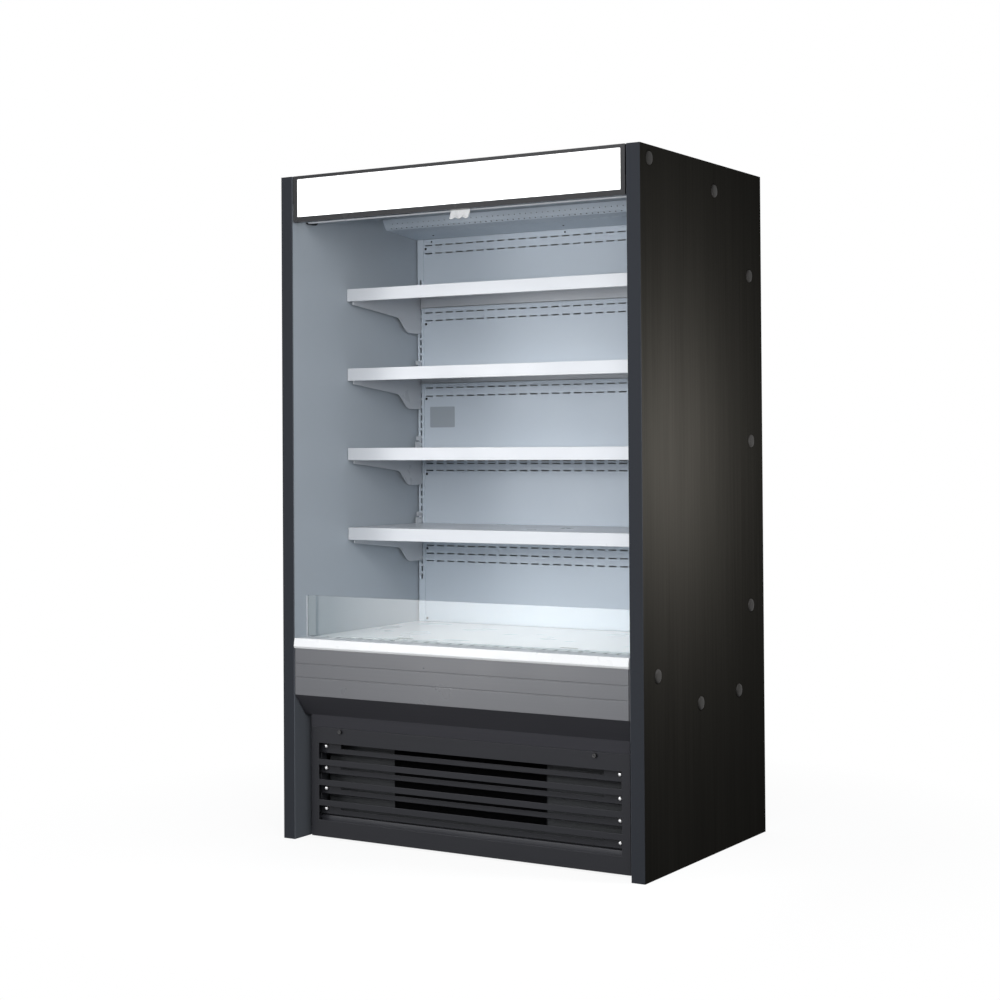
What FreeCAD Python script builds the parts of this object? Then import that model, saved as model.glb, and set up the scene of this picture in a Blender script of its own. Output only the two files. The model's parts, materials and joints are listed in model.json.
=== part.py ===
"""Open multideck display fridge: a self-contained, air-curtain merchandiser with a lit sign and a night curtain.

Row frame: X to the viewer's right, Y to the back, Z up, origin on the floor under the middle of the cabinet.
All sizes are millimetres. The driving sizes live in the spreadsheet Sizes, and every feature is bound to it.
"""

import FreeCAD, Part
import math
import os

import Sketcher

V = FreeCAD.Vector

DRIVING = {
    # cabinet
    "cabinet_width": 1219,
    "cabinet_depth": 812,
    "cabinet_height": 2000,
    "panel_thickness": 42,
    "edge_round": 2,
    "liner_thickness": 1.5,
    "liner_front_inset": 3,
    "sheet": 1.5,
    "seat_gap": 0.3,
    "rear_wall_thickness": 60,
    "rear_inset": 5,
    "plenum_depth": 68,
    "roof_thickness": 73,
    "roof_top_inset": 10,
    "tub_bottom": 395,
    "tub_floor_thickness": 40,
    "tub_front_thickness": 40,
    # caps over the bolts that hold the side panels
    "cap_radius": 19,
    "cap_height": 5,
    "cap_1_setback": 53,
    "cap_1_drop": 37,
    "cap_2_setback": 473,
    "cap_2_drop": 81,
    "cap_3_setback": 719,
    "cap_3_drop": 311,
    "cap_4_setback": 724,
    "cap_4_drop": 809,
    "cap_5_setback": 713,
    "cap_5_drop": 1303,
    "cap_6_setback": 621,
    "cap_6_drop": 1548,
    "cap_7_setback": 357,
    "cap_7_drop": 1555,
    "cap_8_setback": 84,
    "cap_8_drop": 1450,
    # front, from the floor up
    "kick_setback": 50,
    "kick_strip_bottom": 336,
    "kick_strip_top": 371,
    "fascia_bottom": 435,
    "fascia_side_gap": 4,
    "fascia_thickness": 3,
    "groove_width": 3,
    "groove_depth": 1.5,
    "groove_low": 488,
    "groove_high": 529,
    "bumper_bottom": 575,
    "bumper_height": 30,
    "bumper_bulge": 5,
    "bumper_nose": 6,
    "bumper_depth": 14,
    "channel_back": 70,
    "channel_height": 30,
    "glass_setback": 61,
    "glass_thickness": 6,
    "glass_height": 143,
    "glass_end_gap": 5.5,
    "glass_slot_depth": 18,
    "glass_support_depth": 44,
    "glass_support_height": 122,
    # header with the lit sign and the night curtain
    "header_height": 140,
    "header_side_gap": 4,
    "header_depth": 24,
    "sign_side_margin": 14,
    "sign_top_margin": 10,
    "sign_bottom_margin": 16,
    "sign_lip": 3,
    "sign_rebate": 7,
    "sign_thickness": 4,
    "lamp_radius": 8,
    "lamp_drop": 32,
    "lamp_setback": 38,
    "lamp_end_gap": 42.5,
    "lamp_holder_size": 26,
    "roller_setback": 92,
    "roller_drop": 95,
    "roller_radius": 14,
    "roll_radius": 24,
    "roller_pin_radius": 4,
    "pin_clearance": 0.05,
    "curtain_end_gap": 14,
    "bracket_thickness": 9,
    "bracket_depth": 60,
    "bracket_height": 66,
    "bracket_round": 18,
    "bar_height": 18,
    "bar_depth": 14,
    "bar_bottom_drop": 138,
    "fabric_thickness": 0.8,
    "handle_width": 66,
    "handle_height": 26,
    "handle_depth": 16,
    "handle_wall": 3,
    # canopy and air duct
    "canopy_setback": 122,
    "canopy_liner_thickness": 2,
    "duct_bottom_drop": 133,
    "duct_front": 198,
    "duct_slope": 13,
    "duct_nose": 8,
    "duct_rise": 16,
    "duct_slot_back": 62,
    # rear panels and uprights
    "panel_front_setback": 133,
    "panel_return": 15,
    "upright_width": 23,
    "upright_side_gap": 5,
    "upright_proud": 3,
    "upright_wall": 2,
    "upright_slot_width": 6,
    "upright_slot_height": 17,
    "upright_pitch": 25,
    "upright_first": 750,
    "upright_top_clearance": 130,
    "dash_length": 29,
    "dash_height": 4,
    "dash_pitch": 40,
    "dash_margin": 4,
    "dash_top_drop": 22,
    "dash_upper_drop": 36.5,
    "dash_middle_drop": 35.5,
    "dash_lower_drop": 35.5,
    "dash_bottom_drop": 82.5,
    "dash_row_space": 23,
    "dash_bottom_row_space": 25,
    "screw_top_drop": 31,
    "screw_upper_drop": 71.5,
    "screw_middle_drop": 69.5,
    "screw_lower_drop": 68.5,
    "screw_bottom_drop": 64.5,
    "screw_foot_rise": 10,
    "screw_radius": 4,
    "screw_height": 2.5,
    # shelves
    "shelf_top": 927,
    "top_shelf_headroom": 320,
    "shelf_front": 279,
    "shelf_back_gap": 2,
    "shelf_end_gap": 2,
    "shelf_lip": 39,
    "shelf_lip_return": 12,
    "shelf_end_flange": 25,
    "shelf_notch_play": 2,
    "shelf_rib_width": 30,
    "shelf_rib_height": 16,
    "shelf_bracket_inset": 14,
    "shelf_bracket_thickness": 3,
    "shelf_bracket_front_inset": 13,
    "shelf_bracket_nose": 49,
    "shelf_bracket_knee": 76,
    "shelf_bracket_foot": 123,
    "shelf_bracket_knee_reach": 128,
    "shelf_bracket_foot_reach": 80,
    "shelf_bracket_round": 40,
    "shelf_tab_depth": 33,
    "shelf_tab_height": 37,
    "shelf_tab_notch": 5,
    "hook_height": 12,
    "hook_depth": 7,
    "hook_rise": 21,
    # deck and air intake
    "deck_top": 602,
    "deck_flange": 25,
    "deck_split": 1,
    "deck_back_gap": 2,
    "deck_side_gap": 2,
    "finger_slot_length": 60,
    "finger_slot_width": 22,
    "finger_slot_inset": 30,
    "rail_width": 24,
    "intake_length": 66,
    "intake_flange": 12,
    "intake_slot_width": 44,
    "intake_slot_length": 14,
    "intake_slot_pitch": 40,
    "intake_margin": 30,
    # evaporator
    "coil_front": 366,
    "coil_depth": 180,
    "coil_side_gap": 117.5,
    "coil_height": 120,
    "coil_lift": 8,
    "coil_plate": 2,
    "fan_plate_front": 250,
    "evap_fan_radius": 56,
    "evap_hole_clearance": 5,
    "evap_fan_spacing": 420,
    "evap_fan_depth": 26,
    "evap_hub_radius": 20,
    "evap_motor_radius": 24,
    "evap_motor_length": 44,
    # service grille
    "grille_side_gap": 26.5,
    "grille_bottom": 6,
    "grille_thickness": 2,
    "grille_return": 30,
    "grille_stile": 27,
    "grille_rail": 50,
    "grille_row_pitch": 61,
    "grille_row_height": 43,
    "grille_top_row_extra": 5,
    "blade_gap": 16,
    "blade_overlap": 8,
    "blade_thickness": 1.5,
    "blade_fold": 6,
    "blade_slot_inset": 93,
    "blade_slot_rise": 30.5,
    "blade_slot_top": 3.5,
    "rivet_inset": 41,
    "rivet_drop": 11,
    "rivet_radius": 6.5,
    "rivet_height": 8,
    "thumb_screw_inset": 108,
    "thumb_screw_height": 325,
    "thumb_screw_radius": 6,
    "thumb_screw_head": 8,
    # base frame and feet
    "rail_bottom": 25,
    "rail_size": 40,
    "post_depth": 30,
    "foot_radius": 22,
    "foot_height": 10,
    "nut_radius": 10,
    "nut_height": 6,
    "stud_radius": 5,
    "stud_length": 56,
    "foot_inset": 24,
    "tray_thickness": 1.5,
    "tray_wall": 18,
    # condensing unit
    "unit_offset": 26,
    "condenser_front": 126,
    "condenser_depth": 76,
    "condenser_width": 520,
    "condenser_height": 250,
    "shroud_depth": 40,
    "condenser_fan_radius": 115,
    "condenser_hole_clearance": 6,
    "condenser_hub_radius": 30,
    "condenser_fan_depth": 34,
    "motor_radius": 38,
    "motor_length": 70,
    "compressor_side_gap": 267.5,
    "compressor_setback": 560,
    "compressor_radius": 88,
    "compressor_height": 205,
    "compressor_foot": 14,
    "compressor_plate": 4,
    "compressor_plate_size": 210,
    "line_radius": 6,
    "line_bend": 14,
    "line_side_gap": 87.5,
    "line_space": 30,
    "box_side_gap": 67.5,
    "box_width": 200,
    "box_depth": 110,
    "box_height": 200,
    "box_pan_gap": 44,
    "pan_width": 320,
    "pan_depth": 140,
    "pan_height": 42,
    "pan_wall": 2,
    "drain_radius": 11,
    # lower rear cover
    "rear_cover_bottom": 30,
    "vent_length": 180,
    "vent_height": 8,
    "vent_pitch": 22,
    "gland_side_gap": 87.5,
    "gland_height": 120,
    "gland_radius": 11,
    "gland_length": 4.5,
}

CAPS = 8
SHELVES = 4
BACK_PANELS = ("top", "upper", "middle", "lower", "bottom")

doc = FreeCAD.newDocument("display_fridge")
sheet = doc.addObject("Spreadsheet::Sheet", "Sizes")


class Size:
    """A number with the expression that gives it, so that one formula both drives and starts a feature."""

    def __init__(self, value, text):
        self.value = value
        self.text = text

    def _join(self, other, sign, value, swap=False):
        text = as_size(other).text
        left, right = (text, self.text) if swap else (self.text, text)
        return Size(value, "(%s %s %s)" % (left, sign, right))

    def __add__(self, other):
        return self._join(other, "+", self.value + as_size(other).value)

    def __radd__(self, other):
        return as_size(other) + self

    def __sub__(self, other):
        return self._join(other, "-", self.value - as_size(other).value)

    def __rsub__(self, other):
        return as_size(other) - self

    def __mul__(self, other):
        return self._join(other, "*", self.value * as_size(other).value)

    def __rmul__(self, other):
        return as_size(other) * self

    def __truediv__(self, other):
        return self._join(other, "/", self.value / as_size(other).value)

    def __neg__(self):
        return Size(-self.value, "(0 - %s)" % self.text)

    def whole(self):
        """The whole part of the size, for counts."""
        return Size(math.floor(self.value), "floor(%s)" % self.text)


def as_size(number):
    """The number itself if it is a Size already, or a constant Size."""
    if isinstance(number, Size):
        return number
    return Size(number, "(%s)" % number)


class Sizes:
    """The spreadsheet's cells by alias."""


def fill_sheet():
    """Writes the driving sizes to the spreadsheet and returns them as Size objects by name."""
    sizes = Sizes()
    for row, (alias, value) in enumerate(DRIVING.items(), start=1):
        cell = "B%d" % row
        sheet.set("A%d" % row, alias)
        sheet.set(cell, str(value))
        sheet.setAlias(cell, alias)
        setattr(sizes, alias, Size(value, "Sizes." + alias))
    doc.recompute()
    return sizes


d = fill_sheet()
half_width = d.cabinet_width / 2
front = -d.cabinet_depth / 2
back = d.cabinet_depth / 2
inner = half_width - d.panel_thickness
ROTATIONS = {
    "x": FreeCAD.Rotation(V(0, 1, 0), 90),
    "-x": FreeCAD.Rotation(V(0, 1, 0), -90),
    "y": FreeCAD.Rotation(V(1, 0, 0), -90),
    "-y": FreeCAD.Rotation(V(1, 0, 0), 90),
    "z": FreeCAD.Rotation(),
}


# ---------------------------------------------------------------- builders


def bind(obj, prop, size):
    """Ties a property to the sheet."""
    obj.setExpression(prop, as_size(size).text)


def place(obj, at, axis="z"):
    """Puts an object's own Z axis along the named axis and its origin at a point made of Sizes."""
    x, y, z = (as_size(c) for c in at)
    obj.Placement = FreeCAD.Placement(V(x.value, y.value, z.value), ROTATIONS[axis])
    bind(obj, "Placement.Base.x", x)
    bind(obj, "Placement.Base.y", y)
    bind(obj, "Placement.Base.z", z)
    return obj


def block(name, x, y, z):
    """A box between two faces along each axis."""
    obj = doc.addObject("Part::Box", name)
    for prop, (low, high) in zip(("Length", "Width", "Height"), (x, y, z)):
        bind(obj, prop, as_size(high) - as_size(low))
    return place(obj, (x[0], y[0], z[0]))


def rod(name, radius, length, at, axis="z"):
    """A cylinder from a point along an axis."""
    obj = doc.addObject("Part::Cylinder", name)
    bind(obj, "Radius", radius)
    bind(obj, "Height", length)
    return place(obj, at, axis)


def cut(name, base, tools):
    """Base less its tools."""
    obj = doc.addObject("Part::Cut", name)
    obj.Base = base
    obj.Tool = tools[0] if len(tools) == 1 else fuse(name + "_tools", tools)
    return obj


def fuse(name, pieces):
    """Pieces joined to one solid, with no seams left on its faces."""
    obj = doc.addObject("Part::MultiFuse", name)
    obj.Shapes = pieces
    obj.Refine = True
    return obj


def group(name, pieces):
    """Separate solids that share a node."""
    obj = doc.addObject("Part::Compound", name)
    obj.Links = pieces
    return obj


def mirrored(name, source):
    """A copy of the source on the other side of the cabinet's middle plane."""
    obj = doc.addObject("Part::Mirroring", name)
    obj.Source = source
    obj.Normal = V(1, 0, 0)
    return obj


PLANES = {"YZ": ("YZ_Plane", 1), "XZ": ("XZ_Plane", -1), "XY": ("XY_Plane", 1)}


def plane_of(body, plane):
    """A body's own origin plane."""
    role = PLANES[plane][0]
    return next(f for f in body.Origin.OriginFeatures if f.Role == role)


def sketch_on(body, name, plane, offset, loops):
    """A sketch of closed loops of points, each point held by its two distances from the origin."""
    sketch = body.newObject("Sketcher::SketchObject", name)
    sketch.AttachmentSupport = [(plane_of(body, plane), "")]
    sketch.MapMode = "FlatFace"
    bind(sketch, "AttachmentOffset.Base.z", offset)
    for loop in loops:
        points = [(as_size(u), as_size(v)) for u, v in loop]
        first = sketch.GeometryCount
        for (u0, v0), (u1, v1) in zip(points, points[1:] + points[:1]):
            line = Part.LineSegment(V(u0.value, v0.value, 0), V(u1.value, v1.value, 0))
            sketch.addGeometry(line, False)
        for i, (u, v) in enumerate(points):
            here = first + i
            after = first + (i + 1) % len(points)
            sketch.addConstraint(Sketcher.Constraint("Coincident", here, 2, after, 1))
            for kind, size in (("DistanceX", u), ("DistanceY", v)):
                index = sketch.addConstraint(Sketcher.Constraint(kind, -1, 1, here, 1, size.value))
                bind(sketch, "Constraints[%d]" % index, size)
    return sketch


def rectangle(u, v):
    """The loop of a rectangle between two values each way."""
    return [(u[0], v[0]), (u[1], v[0]), (u[1], v[1]), (u[0], v[1])]


def profile(name, plane, low, high, loops):
    """A body padded between two values along the axis that its plane's normal follows."""
    low, high = as_size(low), as_size(high)
    body = doc.addObject("PartDesign::Body", name)
    offset = low if PLANES[plane][1] > 0 else -high
    sketch = sketch_on(body, name + "_outline", plane, offset, loops)
    pad = body.newObject("PartDesign::Pad", name + "_pad")
    pad.Profile = sketch
    bind(pad, "Length", high - low)
    return body


def round_edges(body, axis, corners, radius):
    """Fillets the edges of a body that run along an axis through the given corners."""
    doc.recompute()
    base = body.Tip
    others = [i for i in range(3) if i != "xyz".index(axis)]
    wanted = [tuple(as_size(c).value for c in corner) for corner in corners]
    names = []
    for number, edge in enumerate(base.Shape.Edges, start=1):
        ends = [tuple(v.Point) for v in edge.Vertexes]
        if len(ends) != 2:
            continue
        flat = [[end[i] for i in others] for end in ends]
        if any(all(math.dist(end, corner) < 0.01 for end in flat) for corner in wanted):
            names.append("Edge%d" % number)
    fillet = body.newObject("PartDesign::Fillet", body.Name + "_fillet")
    fillet.Base = (base, names)
    bind(fillet, "Radius", radius)
    return body


def slot_row(body, name, plane, at, depth, loops, pitch, count):
    """Cuts the loops through a body and repeats them along the sketch's horizontal axis."""
    sketch = sketch_on(body, name + "_first", plane, at, loops)
    pocket = body.newObject("PartDesign::Pocket", name + "_cut")
    pocket.Profile = sketch
    pocket.Midplane = True
    bind(pocket, "Length", depth)
    pattern = body.newObject("PartDesign::LinearPattern", name + "_row")
    pattern.Originals = [pocket]
    pattern.Direction = (sketch, ["H_Axis"])
    bind(pattern, "Length", pitch * (count - 1))
    bind(pattern, "Occurrences", count)
    body.Tip = pattern
    return body


def prism(name, sides, radius, length, at, axis="z"):
    """A prism on a regular polygon, for heads, nuts and other small round pieces."""
    obj = doc.addObject("Part::Prism", name)
    obj.Polygon = sides
    bind(obj, "Circumradius", radius)
    bind(obj, "Height", length)
    return place(obj, at, axis)


def tube(points, radius, bend):
    """A six-sided tube along straight runs, each corner cut by one short run."""
    corners = [V(*(as_size(c).value for c in point)) for point in points]
    path = [corners[0]]
    for before, corner, after in zip(corners, corners[1:], corners[2:]):
        path.append(corner + (before - corner).normalize() * bend.value)
        path.append(corner + (after - corner).normalize() * bend.value)
    path.append(corners[-1])
    along = (path[1] - path[0]).normalize()
    side = along.cross(V(0, 0, 1) if abs(along.z) < 0.5 else V(1, 0, 0)).normalize()
    turn = FreeCAD.Rotation(along, 60)
    ring = [side * radius.value]
    for _ in range(5):
        ring.append(turn.multVec(ring[-1]))
    outline = Part.makePolygon([path[0] + spoke for spoke in ring + ring[:1]])
    right_corners = 1
    return Part.makePolygon(path).makePipeShell([outline], True, False, right_corners)


def feature(name, shape):
    """A sub-part whose shape is made by functions."""
    obj = doc.addObject("Part::Feature", name)
    obj.Shape = shape
    return obj


def fan(name, radius, hub_radius, depth, at):
    """A hub with five flat, pitched blades, turning about Y; at is the middle of its hub's front face."""
    tip = radius.value
    root = hub_radius.value * 0.8
    half_chord = tip * 0.36
    shoulder = math.sqrt(tip * tip - half_chord * half_chord)
    thickness = depth.value / 14
    pitch = math.degrees(math.asin((depth.value / 2 - thickness) / half_chord))
    outline = [
        V(-half_chord / 2, 0, root),
        V(half_chord / 2, 0, root),
        V(half_chord, 0, shoulder),
        V(half_chord / 2, 0, tip),
        V(-half_chord / 2, 0, tip * 0.94),
        V(-half_chord, 0, tip * 0.72),
    ]
    blade = Part.Face(Part.makePolygon(outline + outline[:1])).extrude(V(0, thickness, 0))
    blade = blade.common(Part.makeCylinder(tip, depth.value, V(0, 0, 0), V(0, 1, 0)))
    blade.translate(V(0, -thickness / 2, 0))
    blade.rotate(V(0, 0, 0), V(0, 0, 1), pitch)
    blade.translate(V(0, depth.value / 2, 0))
    spokes = [math.radians(angle) for angle in range(0, 361, 30)]
    rim = [V(hub_radius.value * math.sin(a), 0, hub_radius.value * math.cos(a)) for a in spokes]
    shape = Part.Face(Part.makePolygon(rim)).extrude(V(0, depth.value, 0))
    for angle in range(0, 360, 72):
        shape = shape.fuse(blade.rotated(V(0, 0, 0), V(0, 1, 0), angle))
    obj = feature(name, shape.removeSplitter())
    return place(obj, at)


def domed_can(name, levels, at):
    """A pressed can with flat facets, through 24-sided rings of the given radii and heights."""
    rings = []
    for radius, height in ((as_size(a).value, as_size(b).value) for a, b in levels):
        spokes = [math.radians(angle) for angle in range(0, 361, 15)]
        rings.append([V(radius * math.cos(a), radius * math.sin(a), height) for a in spokes])
    faces = [Part.Face(Part.makePolygon(ring)) for ring in (rings[0], rings[-1])]
    for lower, upper in zip(rings, rings[1:]):
        for a, b, c, e in zip(lower, lower[1:], upper[1:], upper):
            faces.append(Part.Face(Part.makePolygon([a, b, c, e, a])))
    return place(feature(name, Part.Solid(Part.makeShell(faces))), at)


# ---------------------------------------------------------------- cabinet shell

liner_top = d.cabinet_height - d.roof_top_inset - d.roof_thickness
rear_face = back - d.rear_inset
wall_front = rear_face - d.rear_wall_thickness
panel_face = back - d.panel_front_setback
canopy_under = liner_top - d.canopy_liner_thickness
duct_face = panel_face - d.duct_front
tub_floor_top = d.tub_bottom + d.tub_floor_thickness
fascia_half = inner - d.fascia_side_gap
bumper_top = d.bumper_bottom + d.bumper_height
kick_face = front + d.kick_setback
canopy_front = front + d.canopy_setback
panel_half = inner - d.upright_side_gap - d.upright_width
dashes = ((panel_half * 2 - d.dash_length - d.dash_margin * 2) / d.dash_pitch).whole() + 1
first_dash = -(d.dash_pitch * (dashes - 1) + d.dash_length) / 2


def side_panel(name):
    """A tall insulated panel with rounded front edges and a recess for the light inner liner."""
    panel = profile(
        name,
        "XY",
        0,
        d.cabinet_height,
        [rectangle((inner, half_width), (front, back))],
    )
    round_edges(panel, "z", [(inner, front), (half_width, front)], d.edge_round)
    recess = sketch_on(
        panel,
        name + "_recess_outline",
        "YZ",
        inner,
        [rectangle((front + d.liner_front_inset, wall_front), (d.bumper_bottom, liner_top))],
    )
    pocket = panel.newObject("PartDesign::Pocket", name + "_recess")
    pocket.Profile = recess
    pocket.Midplane = True
    bind(pocket, "Length", d.liner_thickness * 2)
    return panel


def side_panels():
    right = side_panel("side_panel_right")
    mirrored("side_panel_left", right)


def inner_liners():
    """Light sheets let into the side panels and a third under the canopy."""
    sheets = []
    for side, (low, high) in {
        "right": (inner, inner + d.liner_thickness),
        "left": (-inner - d.liner_thickness, -inner),
    }.items():
        sheets.append(
            block(
                "liner_sheet_" + side,
                (low, high),
                (front + d.liner_front_inset, wall_front),
                (d.bumper_bottom, liner_top),
            )
        )
    sheets.append(
        block("liner_sheet_canopy", (-inner, inner), (canopy_front, duct_face), (canopy_under, liner_top))
    )
    group("inner_liners", sheets)


def bolt_caps():
    """Round plastic caps over the panel bolts, eight on each side."""
    caps = []
    for number in range(1, CAPS + 1):
        setback = getattr(d, "cap_%d_setback" % number)
        drop = getattr(d, "cap_%d_drop" % number)
        for side, sign, axis in (("right", 1, "x"), ("left", -1, "-x")):
            at = (half_width * sign, front + setback, d.cabinet_height - drop)
            name = "bolt_cap_%s_%d" % (side, number)
            caps.append(prism(name, 8, d.cap_radius, d.cap_height, at, axis))
    group("bolt_caps", caps)


def insulated_shell():
    """Foamed rear wall, roof and tub, which touch face to face."""
    block("rear_wall", (-inner, inner), (wall_front, rear_face), (d.tub_bottom, liner_top))
    block(
        "roof_panel",
        (-inner, inner),
        (canopy_front, rear_face),
        (liner_top, d.cabinet_height - d.roof_top_inset),
    )
    tub_front_face = front + d.fascia_thickness
    slope_run = d.tub_floor_thickness * d.kick_setback / (d.fascia_bottom - d.kick_strip_top)
    floor = profile(
        "tub_floor_block",
        "YZ",
        -inner,
        inner,
        [
            [
                (tub_front_face + slope_run, d.tub_bottom),
                (wall_front, d.tub_bottom),
                (wall_front, tub_floor_top),
                (tub_front_face, tub_floor_top),
            ]
        ],
    )
    near, far = line_places
    margin = d.line_radius + d.seat_gap
    pass_through = block(
        "line_pass_through",
        (near - margin, far + margin),
        (line_y - d.line_bend - margin, line_y + margin),
        (d.tub_bottom, tub_floor_top),
    )
    cut("tub_floor", floor, [pass_through])
    block(
        "tub_front",
        (-inner, inner),
        (tub_front_face, tub_front_face + d.tub_front_thickness),
        (tub_floor_top, d.bumper_bottom),
    )


# ---------------------------------------------------------------- air duct and rear panels


def air_duct():
    """Folded duct under the canopy: a sloping nose, and a bottom that falls to the rear with a row of slots."""
    low = d.cabinet_height - d.duct_bottom_drop
    chin = low + d.duct_rise
    nose_bottom = duct_face + d.duct_slope
    seat = panel_face - d.duct_nose
    wall = d.sheet
    body = profile(
        "air_duct",
        "YZ",
        -inner,
        inner,
        [
            [
                (duct_face, canopy_under),
                (nose_bottom, chin + d.duct_nose),
                (nose_bottom + d.duct_nose, chin),
                (seat, low),
                (panel_face, low),
                (panel_face, low + wall),
                (seat, low + wall),
                (nose_bottom + d.duct_nose + wall, chin + wall),
                (nose_bottom + wall * 2, chin + d.duct_nose + wall),
                (duct_face + wall * 2, canopy_under),
            ]
        ],
    )
    slot = rectangle(
        (first_dash, first_dash + d.dash_length),
        (nose_bottom + d.duct_slot_back, nose_bottom + d.duct_slot_back + d.dash_height),
    )
    depth = d.duct_rise + wall * 4
    slot_row(body, "duct_slots", "XY", low + d.duct_rise / 2, depth, [slot], d.dash_pitch, dashes)


def panel_seams():
    """The heights of the rear panels' ends, from the top."""
    seams = [d.cabinet_height - d.duct_bottom_drop]
    for number in range(SHELVES - 1, -1, -1):
        seams.append(shelf_height(number) - d.shelf_lip / 2)
    return seams + [d.deck_top]


def back_panels():
    """Removable perforated panels between the uprights, each a tray with two folded sides."""
    half = panel_half
    seams = panel_seams()
    spaces = {"lower": d.dash_row_space, "bottom": d.dash_bottom_row_space}
    panels = []
    for place_name, top, bottom in zip(BACK_PANELS, seams, seams[1:]):
        name = "back_panel_" + place_name
        high_row = top - getattr(d, "dash_%s_drop" % place_name)
        rows = [high_row, high_row - spaces[place_name]] if place_name in spaces else [high_row]
        wall = d.sheet
        body = profile(
            name,
            "XY",
            bottom,
            top,
            [
                [
                    (-half, panel_face),
                    (half, panel_face),
                    (half, panel_face + d.panel_return),
                    (half - wall, panel_face + d.panel_return),
                    (half - wall, panel_face + wall),
                    (-half + wall, panel_face + wall),
                    (-half + wall, panel_face + d.panel_return),
                    (-half, panel_face + d.panel_return),
                ]
            ],
        )
        loops = [rectangle((first_dash, first_dash + d.dash_length), (z, z + d.dash_height)) for z in rows]
        slot_row(body, name + "_slots", "XZ", -panel_face, wall * 4, loops, d.dash_pitch, dashes)
        panels.append(body)
    group("back_panels", panels)


def panel_screws():
    """Pan heads that hold the rear panels by their edges."""
    heights = [top - getattr(d, "screw_%s_drop" % name) for name, top in zip(BACK_PANELS, panel_seams())]
    heads = []
    for number, height in enumerate(heights + [d.deck_top + d.screw_foot_rise], start=1):
        for side, sign in (("right", 1), ("left", -1)):
            at = ((panel_half - d.screw_radius * 2) * sign, panel_face, height)
            heads.append(prism("screw_%s_%d" % (side, number), 6, d.screw_radius, d.screw_height, at, "-y"))
    group("panel_screws", heads)


def upright(name):
    """A slotted channel, open to the back, that carries the shelf brackets."""
    outer_x = inner - d.upright_side_gap
    inner_x = outer_x - d.upright_width
    face = panel_face - d.upright_proud
    wall = d.upright_wall
    body = profile(
        name,
        "XY",
        d.deck_top,
        d.cabinet_height - d.duct_bottom_drop,
        [
            [
                (inner_x, face),
                (outer_x, face),
                (outer_x, wall_front),
                (outer_x - wall, wall_front),
                (outer_x - wall, face + wall),
                (inner_x + wall, face + wall),
                (inner_x + wall, wall_front),
                (inner_x, wall_front),
            ]
        ],
    )
    return body


def uprights():
    centre = inner - d.upright_side_gap - d.upright_width / 2
    face = panel_face - d.upright_proud
    right = upright("upright_channel")
    loop = rectangle(
        (centre - d.upright_slot_width / 2, centre + d.upright_slot_width / 2),
        (d.upright_first - d.upright_slot_height / 2, d.upright_first + d.upright_slot_height / 2),
    )
    sketch = sketch_on(right, "upright_first_slot", "XZ", -face, [loop])
    pocket = right.newObject("PartDesign::Pocket", "upright_slot")
    pocket.Profile = sketch
    pocket.Midplane = True
    bind(pocket, "Length", d.upright_wall * 4)
    pattern = right.newObject("PartDesign::LinearPattern", "upright_slot_row")
    pattern.Originals = [pocket]
    pattern.Direction = (sketch, ["V_Axis"])
    room = d.cabinet_height - d.duct_bottom_drop - d.upright_top_clearance - d.upright_first
    steps = (room / d.upright_pitch).whole()
    bind(pattern, "Length", d.upright_pitch * steps)
    bind(pattern, "Occurrences", steps + 1)
    right.Tip = pattern
    group("uprights", [right, mirrored("upright_copy", right)])


# ---------------------------------------------------------------- shelves


def shelf_height(number):
    """The top of a shelf, counted from the lowest, a whole number of upright slots over the last one."""
    room = d.cabinet_height - d.top_shelf_headroom - d.shelf_top
    slots = (room / d.upright_pitch / (SHELVES - 1)).whole()
    return d.shelf_top + d.upright_pitch * slots * number


def bracket(name, top):
    """A sheet bracket that tapers to the front, sweeps down to its hooks and has a tab over the shelf."""
    x = inner - d.shelf_bracket_inset
    root = panel_face - d.upright_proud
    tip = front + d.shelf_front + d.shelf_bracket_front_inset
    seat = top - d.sheet - d.seat_gap
    knee = root - d.shelf_bracket_knee_reach
    foot = root - d.shelf_bracket_foot_reach
    tab = root - d.shelf_tab_depth
    tab_top = top + d.shelf_tab_height
    notch = top + d.shelf_tab_height / 2
    body = profile(
        name + "_plate",
        "YZ",
        x - d.shelf_bracket_thickness,
        x,
        [
            [
                (tip, seat),
                (tip, top - d.shelf_bracket_nose),
                (knee, top - d.shelf_bracket_knee),
                (foot, top - d.shelf_bracket_foot),
                (root, top - d.shelf_bracket_foot),
                (root, tab_top),
                (tab + d.shelf_tab_notch, tab_top),
                (tab + d.shelf_tab_notch, notch + d.shelf_tab_notch),
                (root - d.shelf_tab_notch, notch + d.shelf_tab_notch),
                (root - d.shelf_tab_notch, notch),
                (tab, notch),
                (tab, seat),
            ]
        ],
    )
    round_edges(
        body,
        "x",
        [(knee, top - d.shelf_bracket_knee), (foot, top - d.shelf_bracket_foot)],
        d.shelf_bracket_round,
    )
    pieces = [body]
    for step in (0, 2):
        slot = top - d.shelf_bracket_foot + d.hook_rise + d.upright_pitch * step
        low = slot - d.upright_slot_height / 2
        pieces.append(
            block(
                "%s_hook_%d" % (name, step),
                (x - d.shelf_bracket_thickness, x),
                (root, root + d.hook_depth),
                (low, low + d.hook_height),
            )
        )
    return fuse(name, pieces)


def shelf_brackets():
    pieces = []
    for number in range(SHELVES):
        right = bracket("bracket_%d" % (number + 1), shelf_height(number))
        pieces.append(right)
        pieces.append(mirrored("bracket_%d_left" % (number + 1), right))
    group("shelf_brackets", pieces)


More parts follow.
